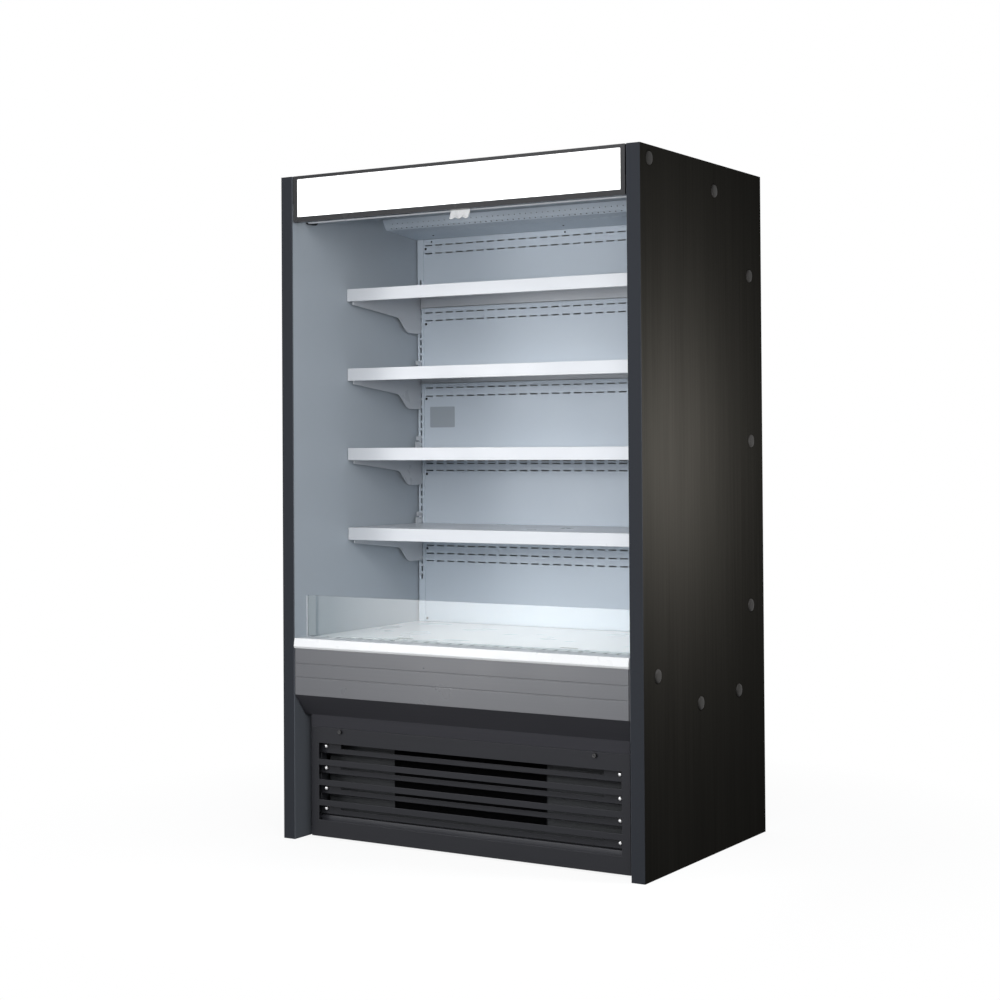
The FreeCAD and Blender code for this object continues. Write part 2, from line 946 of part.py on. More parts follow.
def shelf(name, top):
    """A sheet tray: a deep front lip with a folded hem, a rear flange, two ends and a stiffening rib."""
    lip_face = front + d.shelf_front
    rear = panel_face - d.upright_proud - d.shelf_back_gap
    half = inner - d.shelf_end_gap
    wall = d.sheet
    low = top - d.shelf_lip
    skin = profile(
        name + "_skin",
        "YZ",
        -half,
        half,
        [
            [
                (lip_face, low),
                (lip_face + d.shelf_lip_return, low),
                (lip_face + d.shelf_lip_return, low + wall),
                (lip_face + wall, low + wall),
                (lip_face + wall, top - wall),
                (rear - wall, top - wall),
                (rear - wall, low + wall),
                (rear - d.shelf_lip_return, low + wall),
                (rear - d.shelf_lip_return, low),
                (rear, low),
                (rear, top),
                (lip_face, top),
            ]
        ],
    )
    pieces = [skin]
    for side, (x_low, x_high) in {"right": (half - wall, half), "left": (-half, wall - half)}.items():
        pieces.append(
            block(
                "%s_end_%s" % (name, side),
                (x_low, x_high),
                (lip_face + wall, rear - wall),
                (top - d.shelf_end_flange, top - wall),
            )
        )
    middle = (lip_face + rear) / 2
    notch_high = inner - d.shelf_bracket_inset + d.shelf_notch_play
    notch_low = inner - d.shelf_bracket_inset - d.shelf_bracket_thickness - d.shelf_notch_play
    rib_end = notch_low
    rib = block(
        name + "_rib",
        (-rib_end, rib_end),
        (middle - d.shelf_rib_width / 2, middle + d.shelf_rib_width / 2),
        (top - wall - d.shelf_rib_height, top - wall),
    )
    hollow = block(
        name + "_rib_hollow",
        (-rib_end, rib_end),
        (middle - d.shelf_rib_width / 2 + wall, middle + d.shelf_rib_width / 2 - wall),
        (top - d.shelf_rib_height, top - wall),
    )
    pieces.append(cut(name + "_rib_channel", rib, [hollow]))
    notches = []
    notch_front = panel_face - d.upright_proud - d.shelf_tab_depth - d.shelf_notch_play
    for side, (x_low, x_high) in {
        "right": (notch_low, notch_high),
        "left": (-notch_high, -notch_low),
    }.items():
        notches.append(block("%s_notch_%s" % (name, side), (x_low, x_high), (notch_front, rear), (low, top)))
    cut(name, fuse(name + "_folded", pieces), notches)


def shelves():
    for number, name in enumerate(("shelf_bottom", "shelf_lower", "shelf_upper", "shelf_top")):
        shelf(name, shelf_height(number))


# ---------------------------------------------------------------- front: fascia, bumper, glass


def fascia():
    """The dark lower front, one sheet with two shallow grooves across it."""
    face = front
    rear = front + d.fascia_thickness
    points = [(rear, d.fascia_bottom), (rear, d.bumper_bottom), (face, d.bumper_bottom)]
    for groove in (d.groove_high, d.groove_low):
        points.append((face, groove + d.groove_width / 2))
        points.append((face + d.groove_depth, groove + d.groove_width / 2))
        points.append((face + d.groove_depth, groove - d.groove_width / 2))
        points.append((face, groove - d.groove_width / 2))
    points.append((face, d.fascia_bottom))
    profile("lower_front_panel", "YZ", -fascia_half, fascia_half, [points])


def kick_cover():
    """The folded sheet under the fascia: it slopes back to the machine bay and turns down over the grille."""
    wall = d.sheet
    sheet = profile(
        "kick_sheet",
        "YZ",
        -fascia_half,
        fascia_half,
        [
            [
                (front, d.fascia_bottom),
                (kick_face, d.kick_strip_top),
                (kick_face, d.kick_strip_bottom),
                (kick_face + wall, d.kick_strip_bottom),
                (kick_face + wall, d.kick_strip_top + wall),
                (front + wall * 2, d.fascia_bottom),
            ]
        ],
    )
    strip_half = inner - d.grille_side_gap
    ends = []
    for side, (low, high) in {
        "right": (strip_half, fascia_half),
        "left": (-fascia_half, -strip_half),
    }.items():
        ends.append(
            block(
                "kick_strip_end_" + side,
                (low, high),
                (kick_face, kick_face + wall),
                (d.kick_strip_bottom, d.kick_strip_top),
            )
        )
    cut("kick_cover", sheet, ends)


def bumper():
    """The white bumper rail, with a nose that stands a little proud of the fascia."""
    low = d.bumper_bottom
    nose = front - d.bumper_bulge
    rear = front + d.bumper_depth - d.bumper_bulge
    half = inner - d.edge_round
    body = profile(
        "bumper",
        "YZ",
        -half,
        half,
        [
            [
                (rear, low),
                (front - d.groove_depth, low),
                (nose, low + d.bumper_nose),
                (front, bumper_top),
                (rear, bumper_top),
            ]
        ],
    )
    round_edges(body, "x", [(nose, low + d.bumper_nose)], d.groove_width)


def glass_front():
    """The glass riser, the grey channel that holds its foot, and the two posts at its ends."""
    glass_face = front + d.glass_setback
    glass_back = glass_face + d.glass_thickness
    foot = bumper_top - d.glass_slot_depth
    half = inner - d.glass_end_gap
    block("front_glass", (-half, half), (glass_face, glass_back), (foot, foot + d.glass_height))
    channel = profile(
        "glass_channel_rail",
        "YZ",
        -inner,
        inner,
        [
            [
                (front + d.bumper_depth - d.bumper_bulge, d.bumper_bottom),
                (front + d.channel_back, d.bumper_bottom),
                (front + d.channel_back, d.bumper_bottom + d.channel_height),
                (glass_back, d.bumper_bottom + d.channel_height),
                (glass_back, foot),
                (glass_face, foot),
                (glass_face, bumper_top),
                (front + d.bumper_depth - d.bumper_bulge, bumper_top),
            ]
        ],
    )
    pieces = [channel]
    for side, (low, high) in {"right": (half, inner), "left": (-inner, -half)}.items():
        pieces.append(
            block(
                "glass_post_" + side,
                (low, high),
                (glass_face, glass_face + d.glass_support_depth),
                (bumper_top, bumper_top + d.glass_support_height),
            )
        )
    group("glass_channel", pieces)


# ---------------------------------------------------------------- header, sign and night curtain

header_top = d.cabinet_height
header_low = d.cabinet_height - d.header_height
header_half = inner - d.header_side_gap
header_back = front + d.header_depth
roller_y = front + d.roller_setback
roller_z = d.cabinet_height - d.roller_drop
curtain_half = inner - d.curtain_end_gap
fabric_back = roller_y - d.roll_radius - d.seat_gap
fabric_front = fabric_back - d.fabric_thickness
bar_bottom = d.cabinet_height - d.bar_bottom_drop
bar_top = bar_bottom + d.bar_height


def header():
    """The dark frame round the sign, with a rebate behind its lip, and the white sign panel in it."""
    body = profile(
        "header_frame",
        "XZ",
        front,
        header_back,
        [rectangle((-header_half, header_half), (header_low, header_top))],
    )
    window_half = header_half - d.sign_side_margin
    window_low = header_low + d.sign_bottom_margin
    window_high = header_top - d.sign_top_margin
    rebate_half = window_half + d.sign_rebate
    window = sketch_on(
        body,
        "sign_window_outline",
        "XZ",
        -front,
        [rectangle((-window_half, window_half), (window_low, window_high))],
    )
    through = body.newObject("PartDesign::Pocket", "sign_window")
    through.Profile = window
    through.Midplane = True
    bind(through, "Length", d.header_depth * 3)
    rebate = sketch_on(
        body,
        "sign_rebate_outline",
        "XZ",
        -header_back,
        [
            rectangle(
                (-rebate_half, rebate_half),
                (window_low - d.sign_rebate, window_high + d.sign_rebate),
            )
        ],
    )
    pocket = body.newObject("PartDesign::Pocket", "sign_rebate_cut")
    pocket.Profile = rebate
    pocket.Midplane = True
    bind(pocket, "Length", (d.header_depth - d.sign_lip) * 2)
    block(
        "sign_panel",
        (-rebate_half, rebate_half),
        (front + d.sign_lip, front + d.sign_lip + d.sign_thickness),
        (window_low - d.sign_rebate, window_high + d.sign_rebate),
    )


def header_cover():
    """The top sheet from the back of the header to the roof, over the roller."""
    top = d.cabinet_height - d.roof_top_inset
    block("header_cover", (-inner, inner), (header_back, canopy_front), (top - d.sheet, top))


def sign_lamp():
    """The tube lamp that lights the sign, with a holder at each end that reaches the roof's front edge."""
    y = front + d.lamp_setback
    z = header_top - d.lamp_drop
    half = inner - d.lamp_end_gap
    pieces = [prism("lamp_tube", 8, d.lamp_radius, half * 2, (-half, y, z), "x")]
    for side, sign in (("right", 1), ("left", -1)):
        low = half if sign > 0 else -inner
        high = inner if sign > 0 else -half
        pieces.append(
            block(
                "lamp_holder_" + side,
                (low, high),
                (y - d.lamp_holder_size / 2, y + d.lamp_holder_size / 2),
                (z - d.lamp_holder_size / 2, z + d.lamp_holder_size / 2),
            )
        )
    group("sign_lamp", pieces)


def curtain_brackets():
    """The dark end brackets that carry the roller's pins."""
    pieces = []
    for side, sign in (("right", 1), ("left", -1)):
        low = inner - d.bracket_thickness if sign > 0 else -inner
        plate = profile(
            "curtain_bracket_plate_" + side,
            "YZ",
            low,
            low + d.bracket_thickness,
            [
                rectangle(
                    (roller_y - d.bracket_depth / 2, roller_y + d.bracket_depth / 2),
                    (roller_z - d.bracket_height * 2 / 3, roller_z + d.bracket_height / 3),
                )
            ],
        )
        round_edges(
            plate,
            "x",
            [
                (roller_y - d.bracket_depth / 2, roller_z - d.bracket_height * 2 / 3),
                (roller_y + d.bracket_depth / 2, roller_z - d.bracket_height * 2 / 3),
            ],
            d.bracket_round,
        )
        hole = rod(
            "curtain_pin_hole_" + side,
            d.roller_pin_radius + d.pin_clearance,
            d.bracket_thickness,
            (low, roller_y, roller_z),
            "x",
        )
        pieces.append(cut("curtain_bracket_" + side, plate, [hole]))
    group("curtain_brackets", pieces)


def curtain():
    """Roller with the rolled cloth, the short free strip, the weighted bar and its pull handle."""
    pin = inner - d.seat_gap
    tube_rod = rod("roller_tube", d.roller_radius, curtain_half * 2, (-curtain_half, roller_y, roller_z), "x")
    pins = rod("roller_pins", d.roller_pin_radius, pin * 2, (-pin, roller_y, roller_z), "x")
    fuse("curtain_roller", [tube_rod, pins])
    roll_half = curtain_half - d.handle_wall
    outer = rod("roll_outer", d.roll_radius, roll_half * 2, (-roll_half, roller_y, roller_z), "x")
    core = rod("roll_core", d.roller_radius, roll_half * 2, (-roll_half, roller_y, roller_z), "x")
    cut("curtain_roll", outer, [core])
    block("curtain_fabric", (-roll_half, roll_half), (fabric_front, fabric_back), (bar_top, roller_z))
    middle = (fabric_front + fabric_back) / 2
    bar_front = middle - d.bar_depth / 2
    bar = profile(
        "curtain_bar",
        "YZ",
        -curtain_half,
        curtain_half,
        [rectangle((bar_front, bar_front + d.bar_depth), (bar_bottom, bar_top))],
    )
    round_edges(
        bar,
        "x",
        [(bar_front, bar_bottom), (bar_front + d.bar_depth, bar_bottom)],
        d.bar_depth / 3,
    )
    half = d.handle_width / 2
    wall = d.handle_wall
    low = bar_top - d.handle_height - d.bar_height + d.handle_wall
    profile(
        "curtain_handle",
        "YZ",
        -half,
        half,
        [
            [
                (bar_front, bar_top),
                (bar_front - wall, bar_top),
                (bar_front - wall, low + wall * 2),
                (bar_front - d.handle_depth + wall, low + wall),
                (bar_front - d.handle_depth + wall, low + wall * 3),
                (bar_front - d.handle_depth, low + wall * 3),
                (bar_front - d.handle_depth, low),
                (bar_front, low + wall),
            ]
        ],
    )


# ---------------------------------------------------------------- deck, air intake and evaporator

deck_front = front + d.channel_back + d.intake_length
deck_back = panel_face - d.upright_proud - d.deck_back_gap


def deck_pans():
    """Two lift-out pans with folded edges and a finger hole each."""
    half_split = d.deck_split / 2
    wall = d.sheet
    for side, (low, high) in {
        "right": (half_split, inner - d.deck_side_gap),
        "left": (d.deck_side_gap - inner, -half_split),
    }.items():
        name = "deck_pan_" + side
        outer = block(name + "_outer", (low, high), (deck_front, deck_back), (d.deck_top - d.deck_flange, d.deck_top))
        hollow = block(
            name + "_hollow",
            (low + wall, high - wall),
            (deck_front + wall, deck_back - wall),
            (d.deck_top - d.deck_flange, d.deck_top - wall),
        )
        middle = (low + high) / 2
        near = deck_front + d.finger_slot_inset
        hole = block(
            name + "_finger_slot",
            (middle - d.finger_slot_length / 2, middle + d.finger_slot_length / 2),
            (near, near + d.finger_slot_width),
            (d.deck_top - wall, d.deck_top),
        )
        cut(name, outer, [hollow, hole])


def deck_rails():
    """The two rails across the tub that the pans' edges sit on."""
    seat = d.deck_top - d.deck_flange - d.seat_gap
    pieces = []
    for name, low in (("front", deck_front - d.rail_width / 2), ("rear", deck_back - d.rail_width)):
        pieces.append(
            block("deck_rail_" + name, (-inner, inner), (low, low + d.rail_width), (seat - d.rail_width, seat))
        )
    group("deck_rails", pieces)


def return_grille():
    """The slotted sheet over the air intake, behind the glass."""
    low_y = front + d.channel_back + d.seat_gap
    high_y = deck_front - d.seat_gap
    half = inner - d.glass_end_gap - d.deck_side_gap / 2
    wall = d.sheet
    foot = d.deck_top - d.deck_flange
    body = profile(
        "return_grille",
        "YZ",
        -half,
        half,
        [
            [
                (low_y, d.deck_top - d.intake_flange),
                (low_y + wall, d.deck_top - d.intake_flange),
                (low_y + wall, d.deck_top - wall),
                (high_y - wall, d.deck_top - wall),
                (high_y - wall, foot),
                (high_y, foot),
                (high_y, d.deck_top),
                (low_y, d.deck_top),
            ]
        ],
    )
    run = half * 2 - d.intake_slot_length - d.intake_margin * 2
    slots = (run / d.intake_slot_pitch).whole() + 1
    first = -(d.intake_slot_pitch * (slots - 1) + d.intake_slot_length) / 2
    middle = (low_y + high_y) / 2
    slot = rectangle(
        (first, first + d.intake_slot_length),
        (middle - d.intake_slot_width / 2, middle + d.intake_slot_width / 2),
    )
    slot_row(body, "intake_slots", "XY", d.deck_top, wall * 4, [slot], d.intake_slot_pitch, slots)


def evaporator():
    """A finned block between two end plates, with return bends at one end."""
    y = front + d.coil_front
    z = tub_floor_top + d.coil_lift
    half = inner - d.coil_side_gap
    plate = d.coil_plate
    pieces = [block("coil_fins", (-half, half), (y, y + d.coil_depth), (z, z + d.coil_height))]
    for side, low in (("right", half), ("left", -half - plate)):
        pieces.append(
            block(
                "coil_plate_" + side,
                (low, low + plate),
                (y - plate, y + d.coil_depth + plate),
                (tub_floor_top, z + d.coil_height + plate),
            )
        )
    fuse("evaporator", pieces)


def evaporator_fans():
    """The fan plate across the tub, its two fans and their motors."""
    y = front + d.fan_plate_front
    wall = d.sheet
    top = d.deck_top - d.deck_flange - d.seat_gap
    z = (tub_floor_top + top) / 2
    plate = block("fan_plate_sheet", (-inner, inner), (y, y + wall), (tub_floor_top, top))
    holes = []
    motors = []
    for side, sign in (("right", 1), ("left", -1)):
        x = d.evap_fan_spacing / 2 * sign
        hole_radius = d.evap_fan_radius + d.evap_hole_clearance
        holes.append(prism("fan_hole_" + side, 24, hole_radius, wall, (x, y, z), "y"))
        fan_face = y - d.evap_fan_depth / 2
        fan(
            "evaporator_fan_" + side,
            d.evap_fan_radius,
            d.evap_hub_radius,
            d.evap_fan_depth,
            (x, fan_face, z),
        )
        motor_face = fan_face + d.evap_fan_depth + d.seat_gap
        motor = prism(
            "evap_motor_" + side, 16, d.evap_motor_radius, d.evap_motor_length, (x, motor_face, z), "y"
        )
        foot = block(
            "evap_motor_foot_" + side,
            (x - d.evap_motor_radius / 2, x + d.evap_motor_radius / 2),
            (motor_face + d.evap_motor_length / 4, motor_face + d.evap_motor_length),
            (tub_floor_top, z),
        )
        motors.append(fuse("evap_motor_unit_" + side, [motor, foot]))
    cut("evaporator_fan_plate", plate, holes)
    return motors


# ---------------------------------------------------------------- base frame and feet

rail_top = d.rail_bottom + d.rail_size
frame_front = kick_face + d.grille_return + d.seat_gap
frame_back = rear_face - d.sheet


def foot_places():
    near = frame_front + d.foot_inset
    far = frame_back - d.foot_inset
    side = inner - d.foot_inset
    return {
        "front_left": (-side, near),
        "front_right": (side, near),
        "rear_left": (-side, far),
        "rear_right": (side, far),
    }


def base_frame():
    """Two runners and two cross rails of square tube, with the posts that the service grille closes on."""
    size = d.rail_size
    pieces = []
    for side, (low, high) in {"left": (-inner, size - inner), "right": (inner - size, inner)}.items():
        runner = block("runner_" + side, (low, high), (frame_front, frame_back), (d.rail_bottom, rail_top))
        holes = [
            prism("stud_hole_" + end, 12, d.stud_radius + d.pin_clearance, size, (x, y, d.rail_bottom))
            for end, (x, y) in foot_places().items()
            if side in end
        ]
        pieces.append(cut("runner_drilled_" + side, runner, holes))
        pieces.append(
            block(
                "post_" + side,
                (low, high),
                (frame_front, frame_front + d.post_depth),
                (rail_top, d.tub_bottom),
            )
        )
    for name, (low, high) in {
        "front": (frame_front, frame_front + size),
        "rear": (frame_back - size, frame_back),
    }.items():
        pieces.append(
            block("cross_rail_" + name, (size - inner, inner - size), (low, high), (d.rail_bottom, rail_top))
        )
    pieces.append(
        block(
            "cross_rail_top",
            (size - inner, inner - size),
            (frame_front, frame_front + d.post_depth),
            (d.tub_bottom - size * 2, d.tub_bottom),
        )
    )
    group("base_frame", pieces)


def leveling_feet():
    """Screw feet: a hexagonal pad, a lock nut under the runner and a stud up through it."""
    nut_low = d.rail_bottom - d.seat_gap - d.nut_height
    for name, (x, y) in foot_places().items():
        label = "leveling_foot_" + name
        fuse(
            label,
            [
                prism(label + "_pad", 6, d.foot_radius, d.foot_height, (x, y, 0)),
                prism(label + "_nut", 6, d.nut_radius, d.nut_height, (x, y, nut_low)),
                prism(label + "_stud", 12, d.stud_radius, d.stud_length, (x, y, d.foot_height / 2)),
            ],
        )


def base_tray():
    """The shallow tray that the condensing unit stands in."""
    low_x = d.rail_size - inner
    high_x = inner - d.rail_size
    low_y = frame_front + d.rail_size
    high_y = frame_back - d.rail_size
    wall = d.tray_thickness
    outer = block("tray_outer", (low_x, high_x), (low_y, high_y), (rail_top - wall, rail_top + d.tray_wall))
    hollow = block(
        "tray_hollow",
        (low_x + wall, high_x - wall),
        (low_y + wall, high_y - wall),
        (rail_top, rail_top + d.tray_wall),
    )
    cut("base_tray", outer, [hollow])


# ---------------------------------------------------------------- condensing unit

unit_floor = rail_top
condenser_y = front + d.condenser_front
shroud_back = condenser_y + d.condenser_depth + d.shroud_depth
unit_x = -d.unit_offset
compressor_x = inner - d.compressor_side_gap
compressor_y = front + d.compressor_setback
line_y = front + d.coil_front + d.coil_depth / 2
line_places = (inner - d.line_side_gap, inner - d.line_side_gap + d.line_space)


def condenser():
    """The finned coil behind the grille, between two end plates."""
    half = d.condenser_width / 2
    plate = d.coil_plate
    pieces = [
        block(
            "condenser_fins",
            (unit_x - half, unit_x + half),
            (condenser_y, condenser_y + d.condenser_depth),
            (unit_floor, unit_floor + d.condenser_height),
        )
    ]
    for side, low in (("right", unit_x + half), ("left", unit_x - half - plate)):
        pieces.append(
            block(
                "condenser_plate_" + side,
                (low, low + plate),
                (condenser_y - plate, condenser_y + d.condenser_depth),
                (unit_floor, unit_floor + d.condenser_height),
            )
        )
    fuse("condenser", pieces)


def condenser_fan():
    """The shroud behind the coil, its fan, and the motor on its stand."""
    half = d.condenser_width / 2
    wall = d.sheet
    low_y = condenser_y + d.condenser_depth
    outer = block(
        "shroud_outer",
        (unit_x - half, unit_x + half),
        (low_y, shroud_back),
        (unit_floor, unit_floor + d.condenser_height),
    )
    hollow = block(
        "shroud_hollow",
        (unit_x - half + wall, unit_x + half - wall),
        (low_y, shroud_back - wall),
        (unit_floor + wall, unit_floor + d.condenser_height - wall),
    )
    z = unit_floor + d.condenser_height / 2
    mouth = prism(
        "shroud_mouth",
        32,
        d.condenser_fan_radius + d.condenser_hole_clearance,
        wall,
        (unit_x, shroud_back - wall, z),
        "y",
    )
    cut("fan_shroud", outer, [hollow, mouth])
    fan_face = shroud_back - d.condenser_fan_depth / 2
    fan(
        "condenser_fan",
        d.condenser_fan_radius,
        d.condenser_hub_radius,
        d.condenser_fan_depth,
        (unit_x, fan_face, z),
    )
    motor_face = fan_face + d.condenser_fan_depth + d.seat_gap
    motor = prism("condenser_motor", 16, d.motor_radius, d.motor_length, (unit_x, motor_face, z), "y")
    stand = block(
        "condenser_motor_stand",
        (unit_x - d.motor_radius, unit_x + d.motor_radius),
        (motor_face + d.motor_length / 3, motor_face + d.motor_length * 2 / 3),
        (unit_floor, z),
    )
    return [fuse("condenser_motor_unit", [motor, stand])]


def compressor():
    """A domed can on a foot plate with four rubber feet."""
    x = compressor_x
    low = unit_floor + d.compressor_foot
    radius = d.compressor_radius
    levels = [
        (radius * 0.9, 0),
        (radius, radius / 8),
        (radius, d.compressor_height - radius / 2),
        (radius * 0.85, d.compressor_height - radius / 5),
        (radius / 2, d.compressor_height),
    ]
    can = domed_can("compressor_can", levels, (x, compressor_y, low + d.compressor_plate))
    half = d.compressor_plate_size / 2
    pieces = [
        can,
        block(
            "compressor_plate",
            (x - half, x + half),
            (compressor_y - half, compressor_y + half),
            (low, low + d.compressor_plate),
        ),
    ]
    inset = half - d.compressor_foot * 3 / 2
    for number, (sx, sy) in enumerate(((1, 1), (1, -1), (-1, 1), (-1, -1)), start=1):
        pieces.append(
            prism(
                "compressor_foot_%d" % number,
                8,
                d.compressor_foot,
                d.compressor_foot,
                (x + inset * sx, compressor_y + inset * sy, unit_floor),
            )
        )
    fuse("compressor", pieces)


def refrigerant_lines():
    """Copper lines: suction and liquid up through the tub's floor, and the discharge over to the condenser."""
    side_z = unit_floor + d.compressor_foot + d.compressor_plate + d.compressor_height / 2
    low_z = side_z - d.line_bend
    coil_end = inner - d.coil_side_gap + d.coil_plate
    coil_z = tub_floor_top + d.coil_height / 2
    compressor_side = compressor_x + d.compressor_radius
    condenser_side = unit_x + d.condenser_width / 2 + d.coil_plate
    condenser_mid = condenser_y + d.condenser_depth / 2
    suction_x, liquid_x = line_places
    runs = {
        "suction": [
            (compressor_side, compressor_y, side_z),
            (suction_x, compressor_y, side_z),
            (suction_x, line_y, side_z),
            (suction_x, line_y, coil_z),
            (coil_end, line_y, coil_z),
        ],
        "liquid": [
            (condenser_side, condenser_mid, low_z),
            (liquid_x, condenser_mid, low_z),
            (liquid_x, line_y - d.line_bend, low_z),
            (liquid_x, line_y - d.line_bend, coil_z),
            (coil_end, line_y - d.line_bend, coil_z),
        ],
        "discharge": [
            (compressor_x, compressor_y - d.compressor_radius, side_z),
            (compressor_x, condenser_mid, side_z),
            (condenser_side, condenser_mid, side_z),
        ],
    }
    lines = [feature(name + "_line", tube(points, d.line_radius, d.line_bend)) for name, points in runs.items()]
    group("refrigerant_lines", lines)


def service_boxes():
    """The control box, the condensate pan with the drain above it, and the baffles beside the condenser."""
    x = d.box_side_gap - inner
    pan_back = frame_back - d.rail_size - d.tray_thickness
    box_back = pan_back - d.pan_depth - d.box_pan_gap
    block(
        "control_box",
        (x, x + d.box_width),
        (box_back - d.box_depth, box_back),
        (unit_floor, unit_floor + d.box_height),
    )
    low = (x, x + d.pan_width)
    outer = block(
        "pan_outer", low, (pan_back - d.pan_depth, pan_back), (unit_floor, unit_floor + d.pan_height)
    )
    hollow = block(
        "pan_hollow",
        (low[0] + d.pan_wall, low[1] - d.pan_wall),
        (pan_back - d.pan_depth + d.pan_wall, pan_back - d.pan_wall),
        (unit_floor + d.pan_wall, unit_floor + d.pan_height),
    )
    pan = cut("melt_water_pan", outer, [hollow])
    pipe = rod(
        "drain_pipe",
        d.drain_radius,
        d.tub_bottom - unit_floor - d.pan_height / 2,
        (x + d.pan_width / 2, pan_back - d.pan_depth / 2, unit_floor + d.pan_height / 2),
    )
    group("condensate_pan", [pan, pipe])
    half = d.condenser_width / 2
    pieces = []
    for side, (low_x, high_x) in {
        "left": (d.rail_size - inner, unit_x - half - d.coil_plate),
        "right": (unit_x + half + d.coil_plate, inner - d.rail_size),
    }.items():
        pieces.append(
            block(
                "baffle_" + side,
                (low_x, high_x),
                (condenser_y, condenser_y + d.sheet),
                (rail_top + d.tray_wall, d.tub_bottom - d.rail_size * 2),
            )
        )
    group("air_baffles", pieces)


# ---------------------------------------------------------------- service grille and rear cover


def grille_rows():
    """The low and high edge of each opening in the grille, from the lowest."""
    rows = []
    for number in range(4):
        low = d.grille_bottom + d.grille_rail + d.grille_row_pitch * number
        high = low + d.grille_row_height
        rows.append((low, high + d.grille_top_row_extra if number == 3 else high))
    return rows


def service_grille():
    """The removable front of the machine bay: a folded sheet with four openings, slotted blades set back
    inside it, rivets at the blades' ends and two thumb screws."""
    half = inner - d.grille_side_gap
    wall = d.grille_thickness
    face = kick_face
    top = d.kick_strip_bottom - d.seat_gap
    deep = face + d.grille_return
    outer = block("grille_outer", (-half, half), (face, deep), (d.grille_bottom, top))
    hollow = block(
        "grille_hollow",
        (wall - half, half - wall),
        (face + wall, deep),
        (d.grille_bottom + wall, top - wall),
    )
    open_half = half - d.grille_stile
    tools = [hollow]
    blades = []
    rivets = []
    blade_y = deep - d.blade_thickness - d.blade_fold
    slot_half = half - d.blade_slot_inset
    for number, (low, high) in enumerate(grille_rows(), start=1):
        tools.append(
            block("grille_opening_%d" % number, (-open_half, open_half), (face, face + wall), (low, high))
        )
        foot = low + d.blade_gap
        crown = high + d.blade_overlap
        strip = profile(
            "blade_strip_%d" % number,
            "YZ",
            wall - half,
            half - wall,
            [
                [
                    (blade_y, foot),
                    (blade_y + d.blade_fold, foot - d.blade_fold / 2),
                    (blade_y + d.blade_fold, foot - d.blade_fold / 2 + d.blade_thickness),
                    (blade_y + d.blade_thickness, foot + d.blade_thickness),
                    (blade_y + d.blade_thickness, crown),
                    (blade_y, crown),
                ]
            ],
        )
        slot = block(
            "blade_slot_%d" % number,
            (-slot_half, slot_half),
            (blade_y, blade_y + d.blade_thickness),
            (low + d.blade_slot_rise, high + d.blade_slot_top),
        )
        blades.append(cut("blade_%d" % number, strip, [slot]))
        for side, sign in (("right", 1), ("left", -1)):
            at = ((half - d.rivet_inset) * sign, blade_y, high - d.rivet_drop)
            rivets.append(prism("rivet_%s_%d" % (side, number), 8, d.rivet_radius, d.rivet_height, at, "-y"))
    cut("service_grille", outer, tools)
    for side, sign in (("right", 1), ("left", -1)):
        x = (half - d.thumb_screw_inset) * sign
        at = (x, face, d.thumb_screw_height)
        rivets.append(prism("thumb_head_" + side, 12, d.thumb_screw_radius, d.thumb_screw_head, at, "-y"))
    group("grille_blades", blades)
    group("grille_fixings", rivets)


def rear_cover():
    """The vented sheet that closes the machine bay at the back, and the gland where a mains lead enters."""
    low_y = frame_back
    body = profile(
        "rear_cover",
        "XZ",
        low_y,
        low_y + d.sheet,
        [rectangle((-inner, inner), (d.rear_cover_bottom, d.tub_bottom))],
    )
    first_z = d.rear_cover_bottom + d.vent_pitch * 4
    loops = []
    for number in range(6):
        z = first_z + d.vent_pitch * number
        loops.append(rectangle((-d.vent_length * 3 / 2, -d.vent_length / 2), (z, z + d.vent_height)))
    slot_row(body, "rear_vents", "XZ", -low_y, d.sheet * 4, loops, d.vent_length * 5 / 4, as_size(2))
    prism(
        "cable_gland",
        8,
        d.gland_radius,
        d.gland_length,
        (d.gland_side_gap - inner, low_y + d.sheet, d.gland_height),
        "y",
    )


# ---------------------------------------------------------------- build and export

SUB_PARTS = [
    "side_panel_left",
    "side_panel_right",
    "inner_liners",
    "bolt_caps",
    "rear_wall",
    "roof_panel",
    "tub_floor",
    "tub_front",
    "air_duct",
    "back_panels",
    "panel_screws",
    "uprights",
    "shelf_brackets",
    "shelf_bottom",
    "shelf_lower",
    "shelf_upper",
    "shelf_top",
    "lower_front_panel",
    "kick_cover",
    "bumper",
    "front_glass",
    "glass_channel",
    "header_frame",
    "sign_panel",
    "header_cover",
    "sign_lamp",
    "curtain_brackets",
    "curtain_roller",
    "curtain_roll",
    "curtain_fabric",
    "curtain_bar",
    "curtain_handle",
    "deck_pan_left",
    "deck_pan_right",
    "deck_rails",
    "return_grille",
    "evaporator",
    "evaporator_fan_plate",
    "evaporator_fan_left",
    "evaporator_fan_right",
    "base_frame",
    "leveling_foot_front_left",
    "leveling_foot_front_right",
    "leveling_foot_rear_left",
    "leveling_foot_rear_right",
    "base_tray",
    "condenser",
    "fan_shroud",
    "condenser_fan",
    "fan_motors",
    "compressor",
    "control_box",
    "condensate_pan",
    "air_baffles",
    "service_grille",
    "grille_blades",
    "grille_fixings",
    "rear_cover",
    "cable_gland",
    "refrigerant_lines",
]


